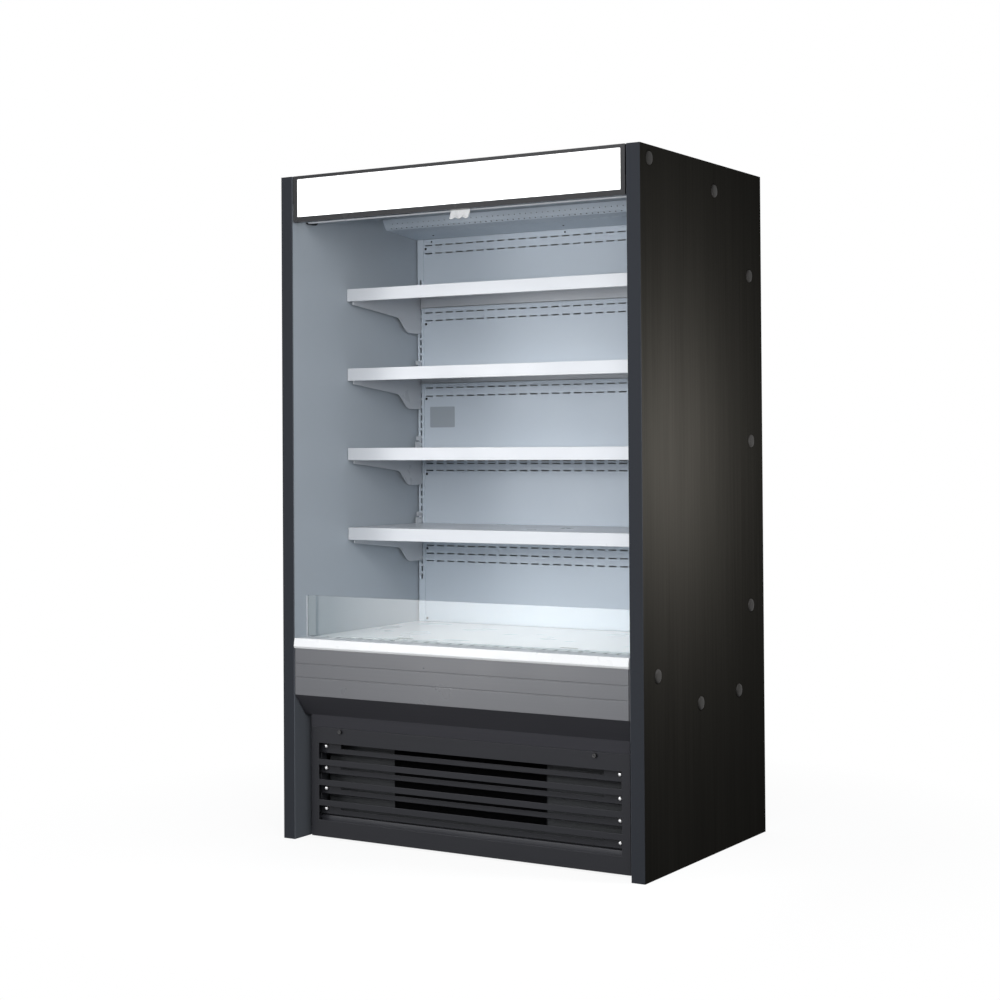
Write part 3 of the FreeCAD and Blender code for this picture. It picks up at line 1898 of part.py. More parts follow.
def build():
    side_panels()
    inner_liners()
    bolt_caps()
    insulated_shell()
    air_duct()
    back_panels()
    panel_screws()
    uprights()
    shelf_brackets()
    shelves()
    fascia()
    kick_cover()
    bumper()
    glass_front()
    header()
    header_cover()
    sign_lamp()
    curtain_brackets()
    curtain()
    deck_pans()
    deck_rails()
    return_grille()
    evaporator()
    motors = evaporator_fans()
    base_frame()
    leveling_feet()
    base_tray()
    condenser()
    motors += condenser_fan()
    group("fan_motors", motors)
    compressor()
    service_boxes()
    refrigerant_lines()
    service_grille()
    rear_cover()
    doc.recompute()


def check(names):
    """Stops if any object failed or any sub-part is empty or broken."""
    for obj in doc.Objects:
        bad = [s for s in obj.State if s in ("Invalid", "Error")]
        if bad:
            raise RuntimeError("%s is %s" % (obj.Name, bad))
    for name in names:
        shape = doc.getObject(name).Shape
        if shape.isNull() or not shape.isValid() or not shape.Solids:
            raise RuntimeError("%s has no sound shape" % name)


def export(names):
    os.makedirs("parts", exist_ok=True)
    for name in names:
        doc.getObject(name).Shape.exportStep(os.path.join("parts", name + ".step"))


build()
check(SUB_PARTS)
export(SUB_PARTS)
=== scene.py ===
"""Looks of the open multideck display fridge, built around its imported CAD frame.

Metres throughout: X to the viewer's right, Y to the back, Z up, with the origin on the floor under the
cabinet's middle.
"""

import json
import math

import bmesh
import bpy
from mathutils import Matrix, Vector


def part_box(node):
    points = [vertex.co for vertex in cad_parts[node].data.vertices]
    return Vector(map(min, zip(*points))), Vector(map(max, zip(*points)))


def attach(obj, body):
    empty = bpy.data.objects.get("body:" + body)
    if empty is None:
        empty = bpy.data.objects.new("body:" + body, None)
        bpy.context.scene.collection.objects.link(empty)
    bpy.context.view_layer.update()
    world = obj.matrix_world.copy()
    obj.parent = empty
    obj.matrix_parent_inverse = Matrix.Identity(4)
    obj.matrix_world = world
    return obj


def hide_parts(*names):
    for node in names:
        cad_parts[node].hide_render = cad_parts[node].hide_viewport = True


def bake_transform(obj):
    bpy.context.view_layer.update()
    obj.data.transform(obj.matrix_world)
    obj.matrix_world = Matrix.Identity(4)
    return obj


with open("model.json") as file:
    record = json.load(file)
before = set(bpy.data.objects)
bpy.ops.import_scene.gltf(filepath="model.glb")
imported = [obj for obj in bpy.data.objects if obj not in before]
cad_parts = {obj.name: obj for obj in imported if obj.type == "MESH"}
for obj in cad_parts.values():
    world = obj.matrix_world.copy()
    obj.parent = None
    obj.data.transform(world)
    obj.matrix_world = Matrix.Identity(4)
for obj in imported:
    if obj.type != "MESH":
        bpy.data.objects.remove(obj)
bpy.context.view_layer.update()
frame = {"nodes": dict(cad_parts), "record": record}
NODES = frame["nodes"]

MM = 0.001
# Half the clear width between the side panels.
INNER = 0.5675


# ---------------------------------------------------------------- shader helpers

# A colour Mix node's two inputs and its output, by number.
MIX_A, MIX_B, MIX_OUT = 6, 7, 2


def feed(tree, target, value):
    """Gives a socket a constant or a link."""
    if isinstance(value, bpy.types.NodeSocket):
        tree.links.new(value, target)
    else:
        target.default_value = value


def add_node(tree, kind, inputs=(), **settings):
    """A shader node with its inputs by name or number, each a constant or a link."""
    node = tree.nodes.new("ShaderNode" + kind)
    for setting, value in settings.items():
        setattr(node, setting, value)
    for key, value in dict(inputs).items():
        feed(tree, node.inputs[key], value)
    return node


def mix_surface(tree, share, first, second, output="Material Output"):
    """Sends two shaders, mixed by a share, to an output."""
    mixed = add_node(tree, "MixShader", {0: share, 1: first, 2: second}).outputs[0]
    feed(tree, tree.nodes[output].inputs["Surface"], mixed)


def opaque(color):
    """A colour with full alpha; a link stays as it is."""
    return color if isinstance(color, bpy.types.NodeSocket) else tuple(color[:3]) + (1.0,)


# The cosine between a face's own normal and the rounded one, where an edge begins and where it is full.
EDGE_COSINES = (0.995, 0.85)
# How far the look of a rounded edge reaches, by what the piece is made of.
SHEET_EDGE, METAL_EDGE, PLASTIC_EDGE, LAMINATE_EDGE = 1.2 * MM, 0.6 * MM, 0.8 * MM, 1.6 * MM


class Finish:
    """A material on one Principled shader, with its pattern made from object coordinates."""

    def __init__(self, name, color, roughness, metallic=0.0, **sockets):
        self.material = bpy.data.materials.new(name)
        self.material.use_nodes = True
        self.tree = self.material.node_tree
        self.shader = self.tree.nodes["Principled BSDF"]
        self.place = self.tree.nodes.new("ShaderNodeTexCoord").outputs["Object"]
        self.color = opaque(color)
        self.normal = None
        self.set("Base Color", self.color)
        self.set("Roughness", roughness)
        self.set("Metallic", metallic)
        for socket, value in sockets.items():
            self.set(socket.replace("_", " "), value)

    def set(self, socket, value):
        """Puts a constant or a link on one of the shader's own sockets."""
        feed(self.tree, self.shader.inputs[socket], value)

    def add(self, kind, inputs=(), **settings):
        """A node in this material."""
        return add_node(self.tree, kind, inputs, **settings)

    def stretched(self, x=1.0, y=1.0, z=1.0):
        """Object coordinates scaled along each axis, for grain with a direction."""
        return self.add("Mapping", {"Vector": self.place, "Scale": (x, y, z)}).outputs[0]

    def noise(self, scale, detail=2.0, place=None):
        """Noise from 0 to 1, about 0.5 in its middle."""
        inputs = {"Vector": place or self.place, "Scale": scale, "Detail": detail}
        return self.add("TexNoise", inputs).outputs[0]

    def spread(self, source, low, high, source_low=0.3, source_high=0.7):
        """A source squeezed between two values."""
        inputs = {"Value": source, "From Min": source_low, "From Max": source_high}
        return self.add("MapRange", {**inputs, "To Min": low, "To Max": high}).outputs[0]

    def tint(self, factor, first, second):
        """Two colours mixed by a factor."""
        inputs = {0: factor, MIX_A: opaque(first), MIX_B: opaque(second)}
        return self.add("Mix", inputs, data_type="RGBA").outputs[MIX_OUT]

    def shade(self, factor, amount):
        """Base colour made darker and lighter by a share, following a factor from 0 to 1."""
        dark = tuple(c * (1 - amount) for c in self.color[:3])
        light = tuple(min(1.0, c * (1 + amount)) for c in self.color[:3])
        mixed = self.tint(factor, dark, light)
        self.set("Base Color", mixed)
        return mixed

    def bump(self, height, distance, strength=1.0):
        """Adds a height to the normal, over any bump that is there already."""
        inputs = {"Height": height, "Distance": distance, "Strength": strength}
        if self.normal:
            inputs["Normal"] = self.normal
        self.normal = self.add("Bump", inputs).outputs[0]
        self.set("Normal", self.normal)

    def edges(self, radius):
        """A rounded look for folded edges, and a mask of them from 0 on faces to 1 on edges."""
        rounded = self.add("Bevel", {"Radius": radius}, samples=4).outputs[0]
        self.normal = rounded
        self.set("Normal", rounded)
        true_normal = self.add("NewGeometry").outputs["True Normal"]
        dot = self.add("VectorMath", {0: rounded, 1: true_normal}, operation="DOT_PRODUCT").outputs["Value"]
        return self.spread(dot, 0.0, 1.0, *EDGE_COSINES)


def satin_front(name, color, roughness, **sockets):
    """The dark front's satin coat: fine level lines, a slow change of gloss and pale edges, a painted
    highlight along every fold.
    """
    finish = Finish(name, color, roughness, **sockets)
    mask = finish.edges(SHEET_EDGE)
    lines = finish.noise(1.0, 3.0, finish.stretched(2.5, 140, 260))
    toned = finish.shade(lines, 0.10)
    # Pale edges: a painted highlight along every fold and groove.
    finish.set("Base Color", finish.tint(finish.spread(mask, 0.0, 0.5, 0.0, 1.0), toned, DARK_EDGE_HIGHLIGHT))
    finish.set("Roughness", finish.spread(finish.noise(5.0, 4.0), roughness * 0.9, roughness * 1.12))
    finish.bump(lines, 0.000015)
    finish.bump(finish.noise(1100.0, 2.0), 0.00002)
    return finish.material


def coated_sheet(name, color, roughness, peel=0.00004, grain=900.0, cloud=0.03, edge=None, **sockets):
    """Powder coat on folded sheet: fine peel, faint clouding and smudges, worn edges where asked."""
    finish = Finish(name, color, roughness, **sockets)
    mask = finish.edges(SHEET_EDGE)
    cloudy = finish.shade(finish.noise(2.3, 4.0), cloud)
    if edge:
        patchy = finish.noise(55.0, 3.0)
        worn = finish.add("Math", {0: mask, 1: patchy}, operation="MULTIPLY").outputs[0]
        finish.set("Base Color", finish.tint(worn, cloudy, edge))
    finish.set("Roughness", finish.spread(finish.noise(7.0, 5.0), roughness * 0.82, roughness * 1.22))
    finish.bump(finish.noise(grain, 2.0), peel)
    return finish.material


def brushed_metal(name, color, roughness, along):
    """Bare metal with fine lines along an axis and dull patches."""
    finish = Finish(name, color, roughness, metallic=1.0)
    finish.edges(METAL_EDGE)
    scale = {"x": (3, 900, 900), "y": (900, 3, 900), "z": (900, 900, 3)}[along]
    lines = finish.noise(1.0, 3.0, finish.stretched(*scale))
    finish.shade(lines, 0.07)
    finish.set("Roughness", finish.spread(lines, roughness * 0.75, roughness * 1.3))
    finish.bump(lines, 0.00002)
    return finish.material


def galvanised():
    """Zinc spangle: cells of slightly different grey and gloss."""
    finish = Finish("galvanised_sheet", (0.6, 0.62, 0.64), 0.38, metallic=0.9)
    finish.edges(METAL_EDGE)
    cells = finish.add("TexVoronoi", {"Vector": finish.place, "Scale": 85.0}).outputs["Color"]
    grey = finish.add("RGBToBW", {0: cells}).outputs[0]
    finish.shade(grey, 0.12)
    finish.set("Roughness", finish.spread(grey, 0.28, 0.5, 0.0, 1.0))
    finish.bump(finish.noise(300.0, 2.0), 0.00002)
    return finish.material


def moulded(name, color, roughness, grain=1400.0, depth=0.00003, **sockets):
    """Moulded plastic with a fine spark-eroded grain."""
    finish = Finish(name, color, roughness, **sockets)
    finish.edges(PLASTIC_EDGE)
    finish.shade(finish.noise(9.0, 3.0), 0.05)
    finish.set("Roughness", finish.spread(finish.noise(30.0, 3.0), roughness * 0.85, roughness * 1.15))
    finish.bump(finish.noise(grain, 1.0), depth)
    return finish.material


def dark_laminate():
    """The outer panels' dark film with upright strokes, greyer on the front edges and the inner faces."""
    finish = Finish("dark_laminate", SIDE_DARK, 0.6, Specular_IOR_Level=0.0)
    mask = finish.edges(LAMINATE_EDGE)
    strokes = finish.noise(1.0, 4.0, finish.stretched(170, 170, 2.2))
    broad = finish.noise(1.0, 3.0, finish.stretched(16, 16, 0.9))
    tone = finish.shade(finish.spread(strokes, 0.0, 1.0), 0.16)
    broad_tone = finish.tint(finish.spread(broad, 0.0, 0.3), tone, SIDE_STROKE)
    normal = finish.add("TexCoord").outputs["Normal"]
    facing = finish.add("SeparateXYZ", {0: normal})
    side = finish.add("SeparateXYZ", {0: finish.place})
    to_front = finish.spread(facing.outputs[1], 0.0, 1.0, -0.3, -0.8)
    outward = finish.add("Math", {0: facing.outputs[0], 1: side.outputs[0]}, operation="MULTIPLY").outputs[0]
    to_middle = finish.spread(outward, 0.0, 1.0, -0.1, -0.4)
    edged = finish.tint(to_front, broad_tone, SIDE_EDGE)
    faced = finish.tint(to_middle, edged, SIDE_INNER)
    # Paler along the rounded edges.
    finish.set("Base Color", finish.tint(finish.spread(mask, 0.0, 0.3, 0.0, 1.0), faced, LAMINATE_PALE_EDGE))
    finish.set("Roughness", finish.spread(broad, 0.44, 0.56))
    pebbles = finish.add("TexVoronoi", {"Vector": finish.place, "Scale": 620.0}).outputs["Distance"]
    finish.bump(pebbles, 0.00005)
    finish.bump(strokes, 0.00003)
    return finish.material


def woven(name, color):
    """The night curtain's cloth: a fine plain weave."""
    finish = Finish(name, color, 0.75, Sheen_Weight=0.3)
    threads = {"Vector": finish.place, "Scale": 320.0}
    warp = finish.add("TexWave", threads, bands_direction="X").outputs[1]
    weft = finish.add("TexWave", threads, bands_direction="Z").outputs[1]
    weave = finish.add("Math", {0: warp, 1: weft}, operation="MULTIPLY").outputs[0]
    finish.shade(weave, 0.08)
    finish.bump(weave, 0.0001)
    return finish.material


def clear_glass():
    """Clear toughened glass that lets light through to what stands behind it."""
    finish = Finish("clear_glass", (0.955, 0.98, 0.97), 0.0, Transmission_Weight=1.0, IOR=1.5)
    finish.set("Roughness", finish.spread(finish.noise(6.0, 4.0), 0.0, 0.03))
    path = finish.add("LightPath")
    rays = {0: path.outputs["Is Shadow Ray"], 1: path.outputs["Is Diffuse Ray"]}
    carried = finish.add("Math", rays, operation="MAXIMUM").outputs[0]
    clear = finish.add("BsdfTransparent", {0: (0.93, 0.95, 0.945, 1)}).outputs[0]
    mix_surface(finish.tree, carried, finish.shader.outputs[0], clear)
    return finish.material


def lit_acrylic():
    """The white sign panel, lit evenly from behind."""
    glow = {"Emission_Color": (1, 1, 1, 1), "Emission_Strength": 0.75}
    finish = Finish("lit_acrylic", (0.95, 0.95, 0.95), 0.3, **glow)
    finish.bump(finish.noise(500.0, 1.0), 0.00001)
    return finish.material


WHITE = (0.60, 0.62, 0.65)
# Paler than the shelves' white: painted light on the deck behind the glass.
DECK_WHITE_PAINTED_LIGHT = (0.86, 0.88, 0.90)
INNER_WHITE = (0.43, 0.475, 0.52)
BACK_WHITE = (0.58, 0.645, 0.715)
DARK = (0.036, 0.037, 0.043)
SIDE_DARK = (0.0125, 0.0118, 0.0102)
SIDE_EDGE = (0.030, 0.0325, 0.038)
SIDE_INNER = (0.11, 0.12, 0.135)
SIDE_STROKE = (0.0165, 0.0155, 0.0135)
LAMINATE_PALE_EDGE = (0.07, 0.07, 0.075)
# A painted highlight for the dark coat's folds.
DARK_EDGE_HIGHLIGHT = (0.10, 0.10, 0.11)
WORN_WHITE = (0.68, 0.70, 0.72)

# One finish for each of the record's material slots.
MATERIALS = {
    "dark_panel": dark_laminate(),
    "dark_paint": satin_front("dark_coated_sheet", DARK, 0.36, Specular_IOR_Level=0.6),
    "header_paint": satin_front("header_coated_sheet", (0.012, 0.0125, 0.0145), 0.26, Specular_IOR_Level=0.3),
    "grey_paint": coated_sheet("grey_coated_sheet", (0.52, 0.545, 0.575), 0.4),
    "liner": coated_sheet("inner_liner_sheet", INNER_WHITE, 0.5, cloud=0.02, Specular_IOR_Level=0.3),
    "foam": coated_sheet("panel_foil", (0.42, 0.43, 0.45), 0.5, grain=200.0),
    "white_paint": coated_sheet("white_coated_sheet", WHITE, 0.32, edge=WORN_WHITE),
    "back_paint": coated_sheet("back_coated_sheet", BACK_WHITE, 0.45, cloud=0.02, Specular_IOR_Level=0.35),
    "bumper": moulded("white_plastic", (0.66, 0.67, 0.68), 0.3, depth=0.00001),
    "cap": moulded("cap_plastic", (0.020, 0.019, 0.018), 0.5, Specular_IOR_Level=0.1),
    "glass": clear_glass(),
    "sign": lit_acrylic(),
    "lamp": moulded("opal_tube", (0.85, 0.85, 0.83), 0.2),
    "cloth": woven("curtain_cloth", (0.62, 0.63, 0.65)),
    "aluminium": brushed_metal("aluminium", (0.78, 0.79, 0.8), 0.32, "x"),
    "galvanised": galvanised(),
    "steel": brushed_metal("zinc_steel", (0.62, 0.62, 0.63), 0.35, "z"),
    "black_plastic": moulded("black_plastic", (0.018, 0.018, 0.019), 0.5),
    "copper": brushed_metal("copper", (0.80, 0.42, 0.27), 0.28, "x"),
    "pvc": moulded("grey_pvc", (0.58, 0.58, 0.57), 0.45),
    "compressor_paint": coated_sheet("black_gloss_paint", (0.02, 0.02, 0.021), 0.22),
}

# Finishes that differ from their slot's: the label and screws in their own colours, the rest painted light
# and shade (a paler fascia for its sheen, a paler deck, a darker kick cover, grille and machine bay).
# The kick cover: the dark front coat made darker, painted shade of the recess under the bumper.
KICK_PAINTED_SHADE = satin_front("kick_sheet_painted_shade", (0.032, 0.032, 0.037), 0.45, Specular_IOR_Level=0.04)
# The service grille and its blades: darker than the front's coat, painted shade low under the bumper.
GRILLE_PAINTED_SHADE = satin_front("grille_sheet_painted_shade", (0.021, 0.0215, 0.025), 0.32, Specular_IOR_Level=0.12)
# The fascia: a glossier satin coat, with a base paler than the dark paint that is partly painted reflection
# of its sheen.
FASCIA_PAINTED_SHEEN = satin_front("fascia_satin_painted_sheen", (0.060, 0.063, 0.073), 0.3, Specular_IOR_Level=0.8)
# Near black for the condenser coil and fan shroud: painted shade of the machine bay behind the grille.
BAY_PAINTED_SHADE = coated_sheet("machine_bay_painted_shade", (0.008, 0.008, 0.009), 0.7, Specular_IOR_Level=0.05)
LABEL = coated_sheet("label_film", (0.37, 0.41, 0.45), 0.4, grain=300.0)
# Galvanised baffles and base tray made nearly black: painted shade inside the machine bay.
ZINC_PAINTED_SHADE = coated_sheet("zinc_sheet_painted_shade", (0.042, 0.044, 0.047), 0.5, cloud=0.2, Specular_IOR_Level=0.15)
BLACK_SCREW = brushed_metal("blackened_screw", (0.03, 0.03, 0.033), 0.4, "z")
# The deck pans and return grille: whiter than the shelves, painted light on the deck behind the glass.
DECK_PAINTED_LIGHT = coated_sheet("deck_sheet_painted_light", DECK_WHITE_PAINTED_LIGHT, 0.3, edge=WORN_WHITE)
OWN_FINISH = {
    "lower_front_panel": FASCIA_PAINTED_SHEEN,
    "kick_cover": KICK_PAINTED_SHADE,
    "service_grille": GRILLE_PAINTED_SHADE,
    "grille_blades": GRILLE_PAINTED_SHADE,
    "air_baffles": ZINC_PAINTED_SHADE,
    "base_tray": ZINC_PAINTED_SHADE,
    "deck_pan_left": DECK_PAINTED_LIGHT,
    "deck_pan_right": DECK_PAINTED_LIGHT,
    "return_grille": DECK_PAINTED_LIGHT,
    "fan_shroud": BAY_PAINTED_SHADE,
}

SLOT_OF = {row["node"]: row["material_slot"] for row in frame["record"]["subparts"]}
for node, obj in NODES.items():
    obj.data.materials.clear()
    obj.data.materials.append(OWN_FINISH.get(node) or MATERIALS[SLOT_OF[node]])


# ---------------------------------------------------------------- mesh helpers


def mesh_object(name, verts, faces, finish, smooth=False):
    """A mesh in the row frame with its finish."""
    mesh = bpy.data.meshes.new(name)
    mesh.from_pydata([tuple(v) for v in verts], [], faces)
    mesh.validate()
    mesh.materials.append(finish)
    if smooth:
        mesh.shade_smooth()
    obj = bpy.data.objects.new(name, mesh)
    bpy.context.scene.collection.objects.link(obj)
    return obj


def piece(name, verts, faces, body, slot, replaces=(), smooth=False, finish=None):
    """A mesh piece that rides on a body; without a finish of its own it takes its slot's."""
    obj = mesh_object(name, verts, faces, finish or MATERIALS[slot], smooth)
    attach(obj, body)
    if replaces:
        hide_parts(*replaces)
    return obj


def from_bmesh(name, bm, body, slot, replaces=(), smooth=False, finish=None):
    """A piece from a bmesh."""
    bmesh.ops.remove_doubles(bm, verts=bm.verts, dist=1e-6)
    bmesh.ops.recalc_face_normals(bm, faces=bm.faces)
    obj = piece(name, [], [], body, slot, replaces, finish=finish)
    bm.to_mesh(obj.data)
    bm.free()
    if smooth:
        obj.data.shade_smooth()
    return obj


def grid_faces(rows, columns, turned=False):
    """Quads over a grid of points that is stored row by row; turned, they face the other way."""
    row = columns + 1
    corners = (0, 1, row + 1, row) if turned else (0, row, row + 1, 1)
    return [tuple(i * row + j + c for c in corners) for i in range(rows) for j in range(columns)]


def thicken(obj, thickness, offset=1.0):
    """Sheet thickness on one side of a surface, or on both with an offset of 0."""
    modifier = obj.modifiers.new("thickness", "SOLIDIFY")
    modifier.thickness = thickness
    modifier.offset = offset
    modifier.use_even_offset = True


def round_folds(obj, width):
    """Rounds the folded edges of a CAD node, and shades its faces flat between them."""
    weld = obj.modifiers.new("weld", "WELD")
    weld.merge_threshold = 1e-5
    bevel = obj.modifiers.new("folds", "BEVEL")
    bevel.width = width
    bevel.segments = 2
    bevel.limit_method = "ANGLE"
    bevel.angle_limit = math.radians(40)
    normals = obj.modifiers.new("normals", "WEIGHTED_NORMAL")
    normals.keep_sharp = True


def plate(bm, outline, holes, lift):
    """Fills a flat outline less its holes; lift turns each (u, v) to a point in the row frame."""
    edges = []
    for loop in [outline] + holes:
        verts = [bm.verts.new(lift(u, v)) for u, v in loop]
        edges += [bm.edges.new((a, b)) for a, b in zip(verts, verts[1:] + verts[:1])]
    bmesh.ops.triangle_fill(bm, use_beauty=True, edges=edges)


def oblong(cu, cv, length, height):
    """A slot with round ends, its middle at (cu, cv)."""
    steps = 3
    radius = height / 2
    run = length / 2 - radius
    points = []
    for side, start in ((1, -90), (-1, 90)):
        for step in range(steps + 1):
            angle = math.radians(start + 180 * step / steps)
            points.append((cu + side * run + radius * math.cos(angle), cv + radius * math.sin(angle)))
    return points


def circle(cu, cv, radius, steps):
    """A round outline about (cu, cv)."""
    turn = 2 * math.pi / steps
    return [(cu + radius * math.cos(turn * i), cv + radius * math.sin(turn * i)) for i in range(steps)]


def lathe(bm, profile, centre, axis, steps):
    """Turns (radius, height) pairs round an axis through a centre, and caps both ends."""
    rotation = Vector((0, 0, 1)).rotation_difference(Vector(axis)).to_matrix()
    rings = []
    for radius, height in profile:
        ring = []
        for step in range(steps):
            angle = 2 * math.pi * step / steps
            point = Vector((radius * math.cos(angle), radius * math.sin(angle), height))
            ring.append(bm.verts.new(Vector(centre) + rotation @ point))
        rings.append(ring)
    for low, high in zip(rings, rings[1:]):
        for i in range(steps):
            j = (i + 1) % steps
            bm.faces.new((low[i], low[j], high[j], high[i]))
    bm.faces.new(list(reversed(rings[0])))
    bm.faces.new(rings[-1])


def solid_box(bm, low, high):
    """A box between two corners."""
    x, y, z = zip(low, high)
    verts = [bm.verts.new((x[i], y[j], z[k])) for i in (0, 1) for j in (0, 1) for k in (0, 1)]
    for face in ((0, 1, 3, 2), (4, 6, 7, 5), (0, 4, 5, 1), (2, 3, 7, 6), (0, 2, 6, 4), (1, 5, 7, 3)):
        bm.faces.new([verts[i] for i in face])


# ---------------------------------------------------------------- rear panels and air duct

SHEET = 1.5 * MM
PANEL_FACE = 0.273
PANEL_HALF = 0.5395
PANEL_RETURN = 0.015
# Half of the gap at each seam between two panels.
SEAM_GAP = 0.0004
SEAMS = (1.867, 1.6575, 1.4075, 1.1575, 0.9075, 0.602)
# Heights of the slot rows on each panel, and the slots in a row: their places and their size.
ROWS = ((1.847, 1.820), (1.623, 1.597), (1.374, 1.347), (1.133, 1.124, 1.101), (0.853, 0.827, 0.802))
SLOT_PITCH, SLOT_COUNT = 0.040, 27
SLOT_PLACES = [SLOT_PITCH * (i - (SLOT_COUNT - 1) / 2) for i in range(SLOT_COUNT)]
SLOT = (0.029, 0.004)
# The duct's section as (y, z) from its nose to the rear panels.
DUCT_PROFILE = ((0.075, 1.915), (0.088, 1.891), (0.096, 1.883), (0.265, 1.867), (0.273, 1.867))
# How far along the duct's bottom its slots lie.
DUCT_SLOT = 0.0565
# Round holes on the nose: their pitch and count, then each row's shift, place on its face, radius
# and steps.
HOLE_PITCH, HOLE_COUNT = 0.020, 55
HOLE_ROWS = ((0.005, 0.016, 0.0019, 8), (-0.005, 0.0062, 0.0027, 10))


def rear_panels():
    """Five lift-out panels with every slot row, joined as one piece in place of the plain ones."""
    bm = bmesh.new()
    for top, bottom, rows in zip(SEAMS, SEAMS[1:], ROWS):
        low, high = bottom + SEAM_GAP, top - SEAM_GAP
        outline = [(-PANEL_HALF, low), (PANEL_HALF, low), (PANEL_HALF, high), (-PANEL_HALF, high)]
        holes = [oblong(x, z, *SLOT) for z in rows for x in SLOT_PLACES]
        plate(bm, outline, holes, lambda u, v: (u, PANEL_FACE, v))
        for x in (-PANEL_HALF, PANEL_HALF):
            corners = [(x, PANEL_FACE, low), (x, PANEL_FACE, high)]
            corners += [(x, PANEL_FACE + PANEL_RETURN, high), (x, PANEL_FACE + PANEL_RETURN, low)]
            bm.faces.new([bm.verts.new(c) for c in corners])
    obj = from_bmesh("rear_panels", bm, "cabinet", "back_paint", ["back_panels"])
    thicken(obj, SHEET, -1.0)


def hole_row(shift, along, radius, steps):
    """One row of the duct's round holes."""
    places = [HOLE_PITCH * (i - HOLE_COUNT // 2) + shift for i in range(HOLE_COUNT)]
    return [circle(x, along, radius, steps) for x in places]


def air_duct():
    """The folded duct: a nose with two staggered rows of round holes, and a falling bottom with slots."""
    bm = bmesh.new()
    holes = [hole_row(*row) for row in HOLE_ROWS]
    holes += [[oblong(x, DUCT_SLOT, *SLOT) for x in SLOT_PLACES], []]
    for (y0, z0), (y1, z1), cuts in zip(DUCT_PROFILE, DUCT_PROFILE[1:], holes):
        start = Vector((0, y0, z0))
        run = Vector((0, y1 - y0, z1 - z0))
        along = run / run.length
        outline = [(-INNER, 0), (INNER, 0), (INNER, run.length), (-INNER, run.length)]
        plate(bm, outline, cuts, lambda u, v: start + Vector((u, 0, 0)) + along * v)
    obj = from_bmesh("air_duct_perforated", bm, "cabinet", "back_paint", ["air_duct"])
    thicken(obj, SHEET, 1.0)


rear_panels()
air_duct()


# ---------------------------------------------------------------- small fixings

# Heads as (share of the radius, share of the height), from their seat to the middle of their top.
PAN_HEAD = ((1.0, 0.0), (1.0, 0.25), (0.93, 0.6), (0.75, 0.85), (0.4, 0.97), (0.0, 1.0))
CAP = ((1.0, 0.0), (1.0, 0.3), (0.95, 0.62), (0.82, 0.86), (0.6, 0.97), (0.3, 1.0), (0.0, 1.0))
KNOB_SIDE = ((0.55, 0.0), (0.55, 0.25), (1.0, 0.3), (1.0, 0.85))
KNOB = KNOB_SIDE + ((0.9, 1.0), (0.45, 1.0), (0.4, 0.8), (0.0, 0.8))
# Between the grille's rivets below and its two thumb screws above.
RIVETS_TOP = 0.3


def head(bm, profile, radius, height, base, direction, steps):
    """One round head of a given size that stands on its base."""
    lathe(bm, [(radius * r, height * h) for r, h in profile], base, direction, steps)


def solids_of(node):
    """The low and high corner of each separate solid of a CAD node."""
    source = bmesh.new()
    source.from_mesh(NODES[node].data)
    bmesh.ops.remove_doubles(source, verts=source.verts, dist=1e-6)
    corners = []
    seen = set()
    for first in source.verts:
        solid, stack = [], [first]
        while stack:
            vert = stack.pop()
            if vert not in seen:
                seen.add(vert)
                solid.append(vert.co.copy())
                stack += [edge.other_vert(vert) for edge in vert.link_edges]
        if solid:
            low = Vector(min(point[i] for point in solid) for i in range(3))
            high = Vector(max(point[i] for point in solid) for i in range(3))
            corners.append((low, high))
    source.free()
    return corners


def heads_from(node, name, body, slot, profile, chosen=None, replaces=True, finish=None):
    """A rounded head in place of each chosen solid of a node, as wide and as tall as that solid."""
    bm = bmesh.new()
    for low, high in solids_of(node):
        size = high - low
        centre = (low + high) / 2
        if chosen and not chosen(centre):
            continue
        axis = min(range(3), key=lambda i: size[i])
        outward = -1 if axis == 1 else (1 if centre[0] > 0 else -1)
        direction = [0, 0, 0]
        direction[axis] = outward
        base = centre.copy()
        base[axis] = low[axis] if outward > 0 else high[axis]
        head(bm, profile, max(size) / 2, size[axis], base, direction, 24)
    from_bmesh(name, bm, body, slot, [node] if replaces else [], smooth=True, finish=finish)


heads_from("bolt_caps", "rounded_bolt_caps", "cabinet", "cap", CAP)
heads_from("panel_screws", "pan_head_screws", "cabinet", "steel", PAN_HEAD, finish=BLACK_SCREW)
heads_from("grille_fixings", "blade_rivets", "grille", "steel", PAN_HEAD, lambda c: c.z < RIVETS_TOP)
heads_from(
    "grille_fixings",
    "thumb_screws",
    "grille",
    "black_plastic",
    KNOB,
    lambda c: c.z > RIVETS_TOP,
    replaces=False,
)


def small_screws():
    """The small dark screws that fix the duct's bottom and the top panel's upper edge."""
    bm = bmesh.new()
    radius, height = 0.003, 0.002
    for x in (-0.508, -0.002, 0.508):
        head(bm, PAN_HEAD, radius, height, (x, PANEL_FACE, 1.8585), (0, -1, 0), 12)
    # On the duct's falling bottom, square to it.
    fall = (0, -0.0942, -0.9956)
    (y0, z0), (y1, z1) = DUCT_PROFILE[2:4]
    y = 0.213
    z = z0 + (z1 - z0) * (y - y0) / (y1 - y0)
    for x in (-0.462, 0.026, 0.462):
        head(bm, PAN_HEAD, radius, height, (x, y, z), fall, 12)
    from_bmesh("small_dark_screws", bm, "cabinet", "steel", smooth=True, finish=BLACK_SCREW)


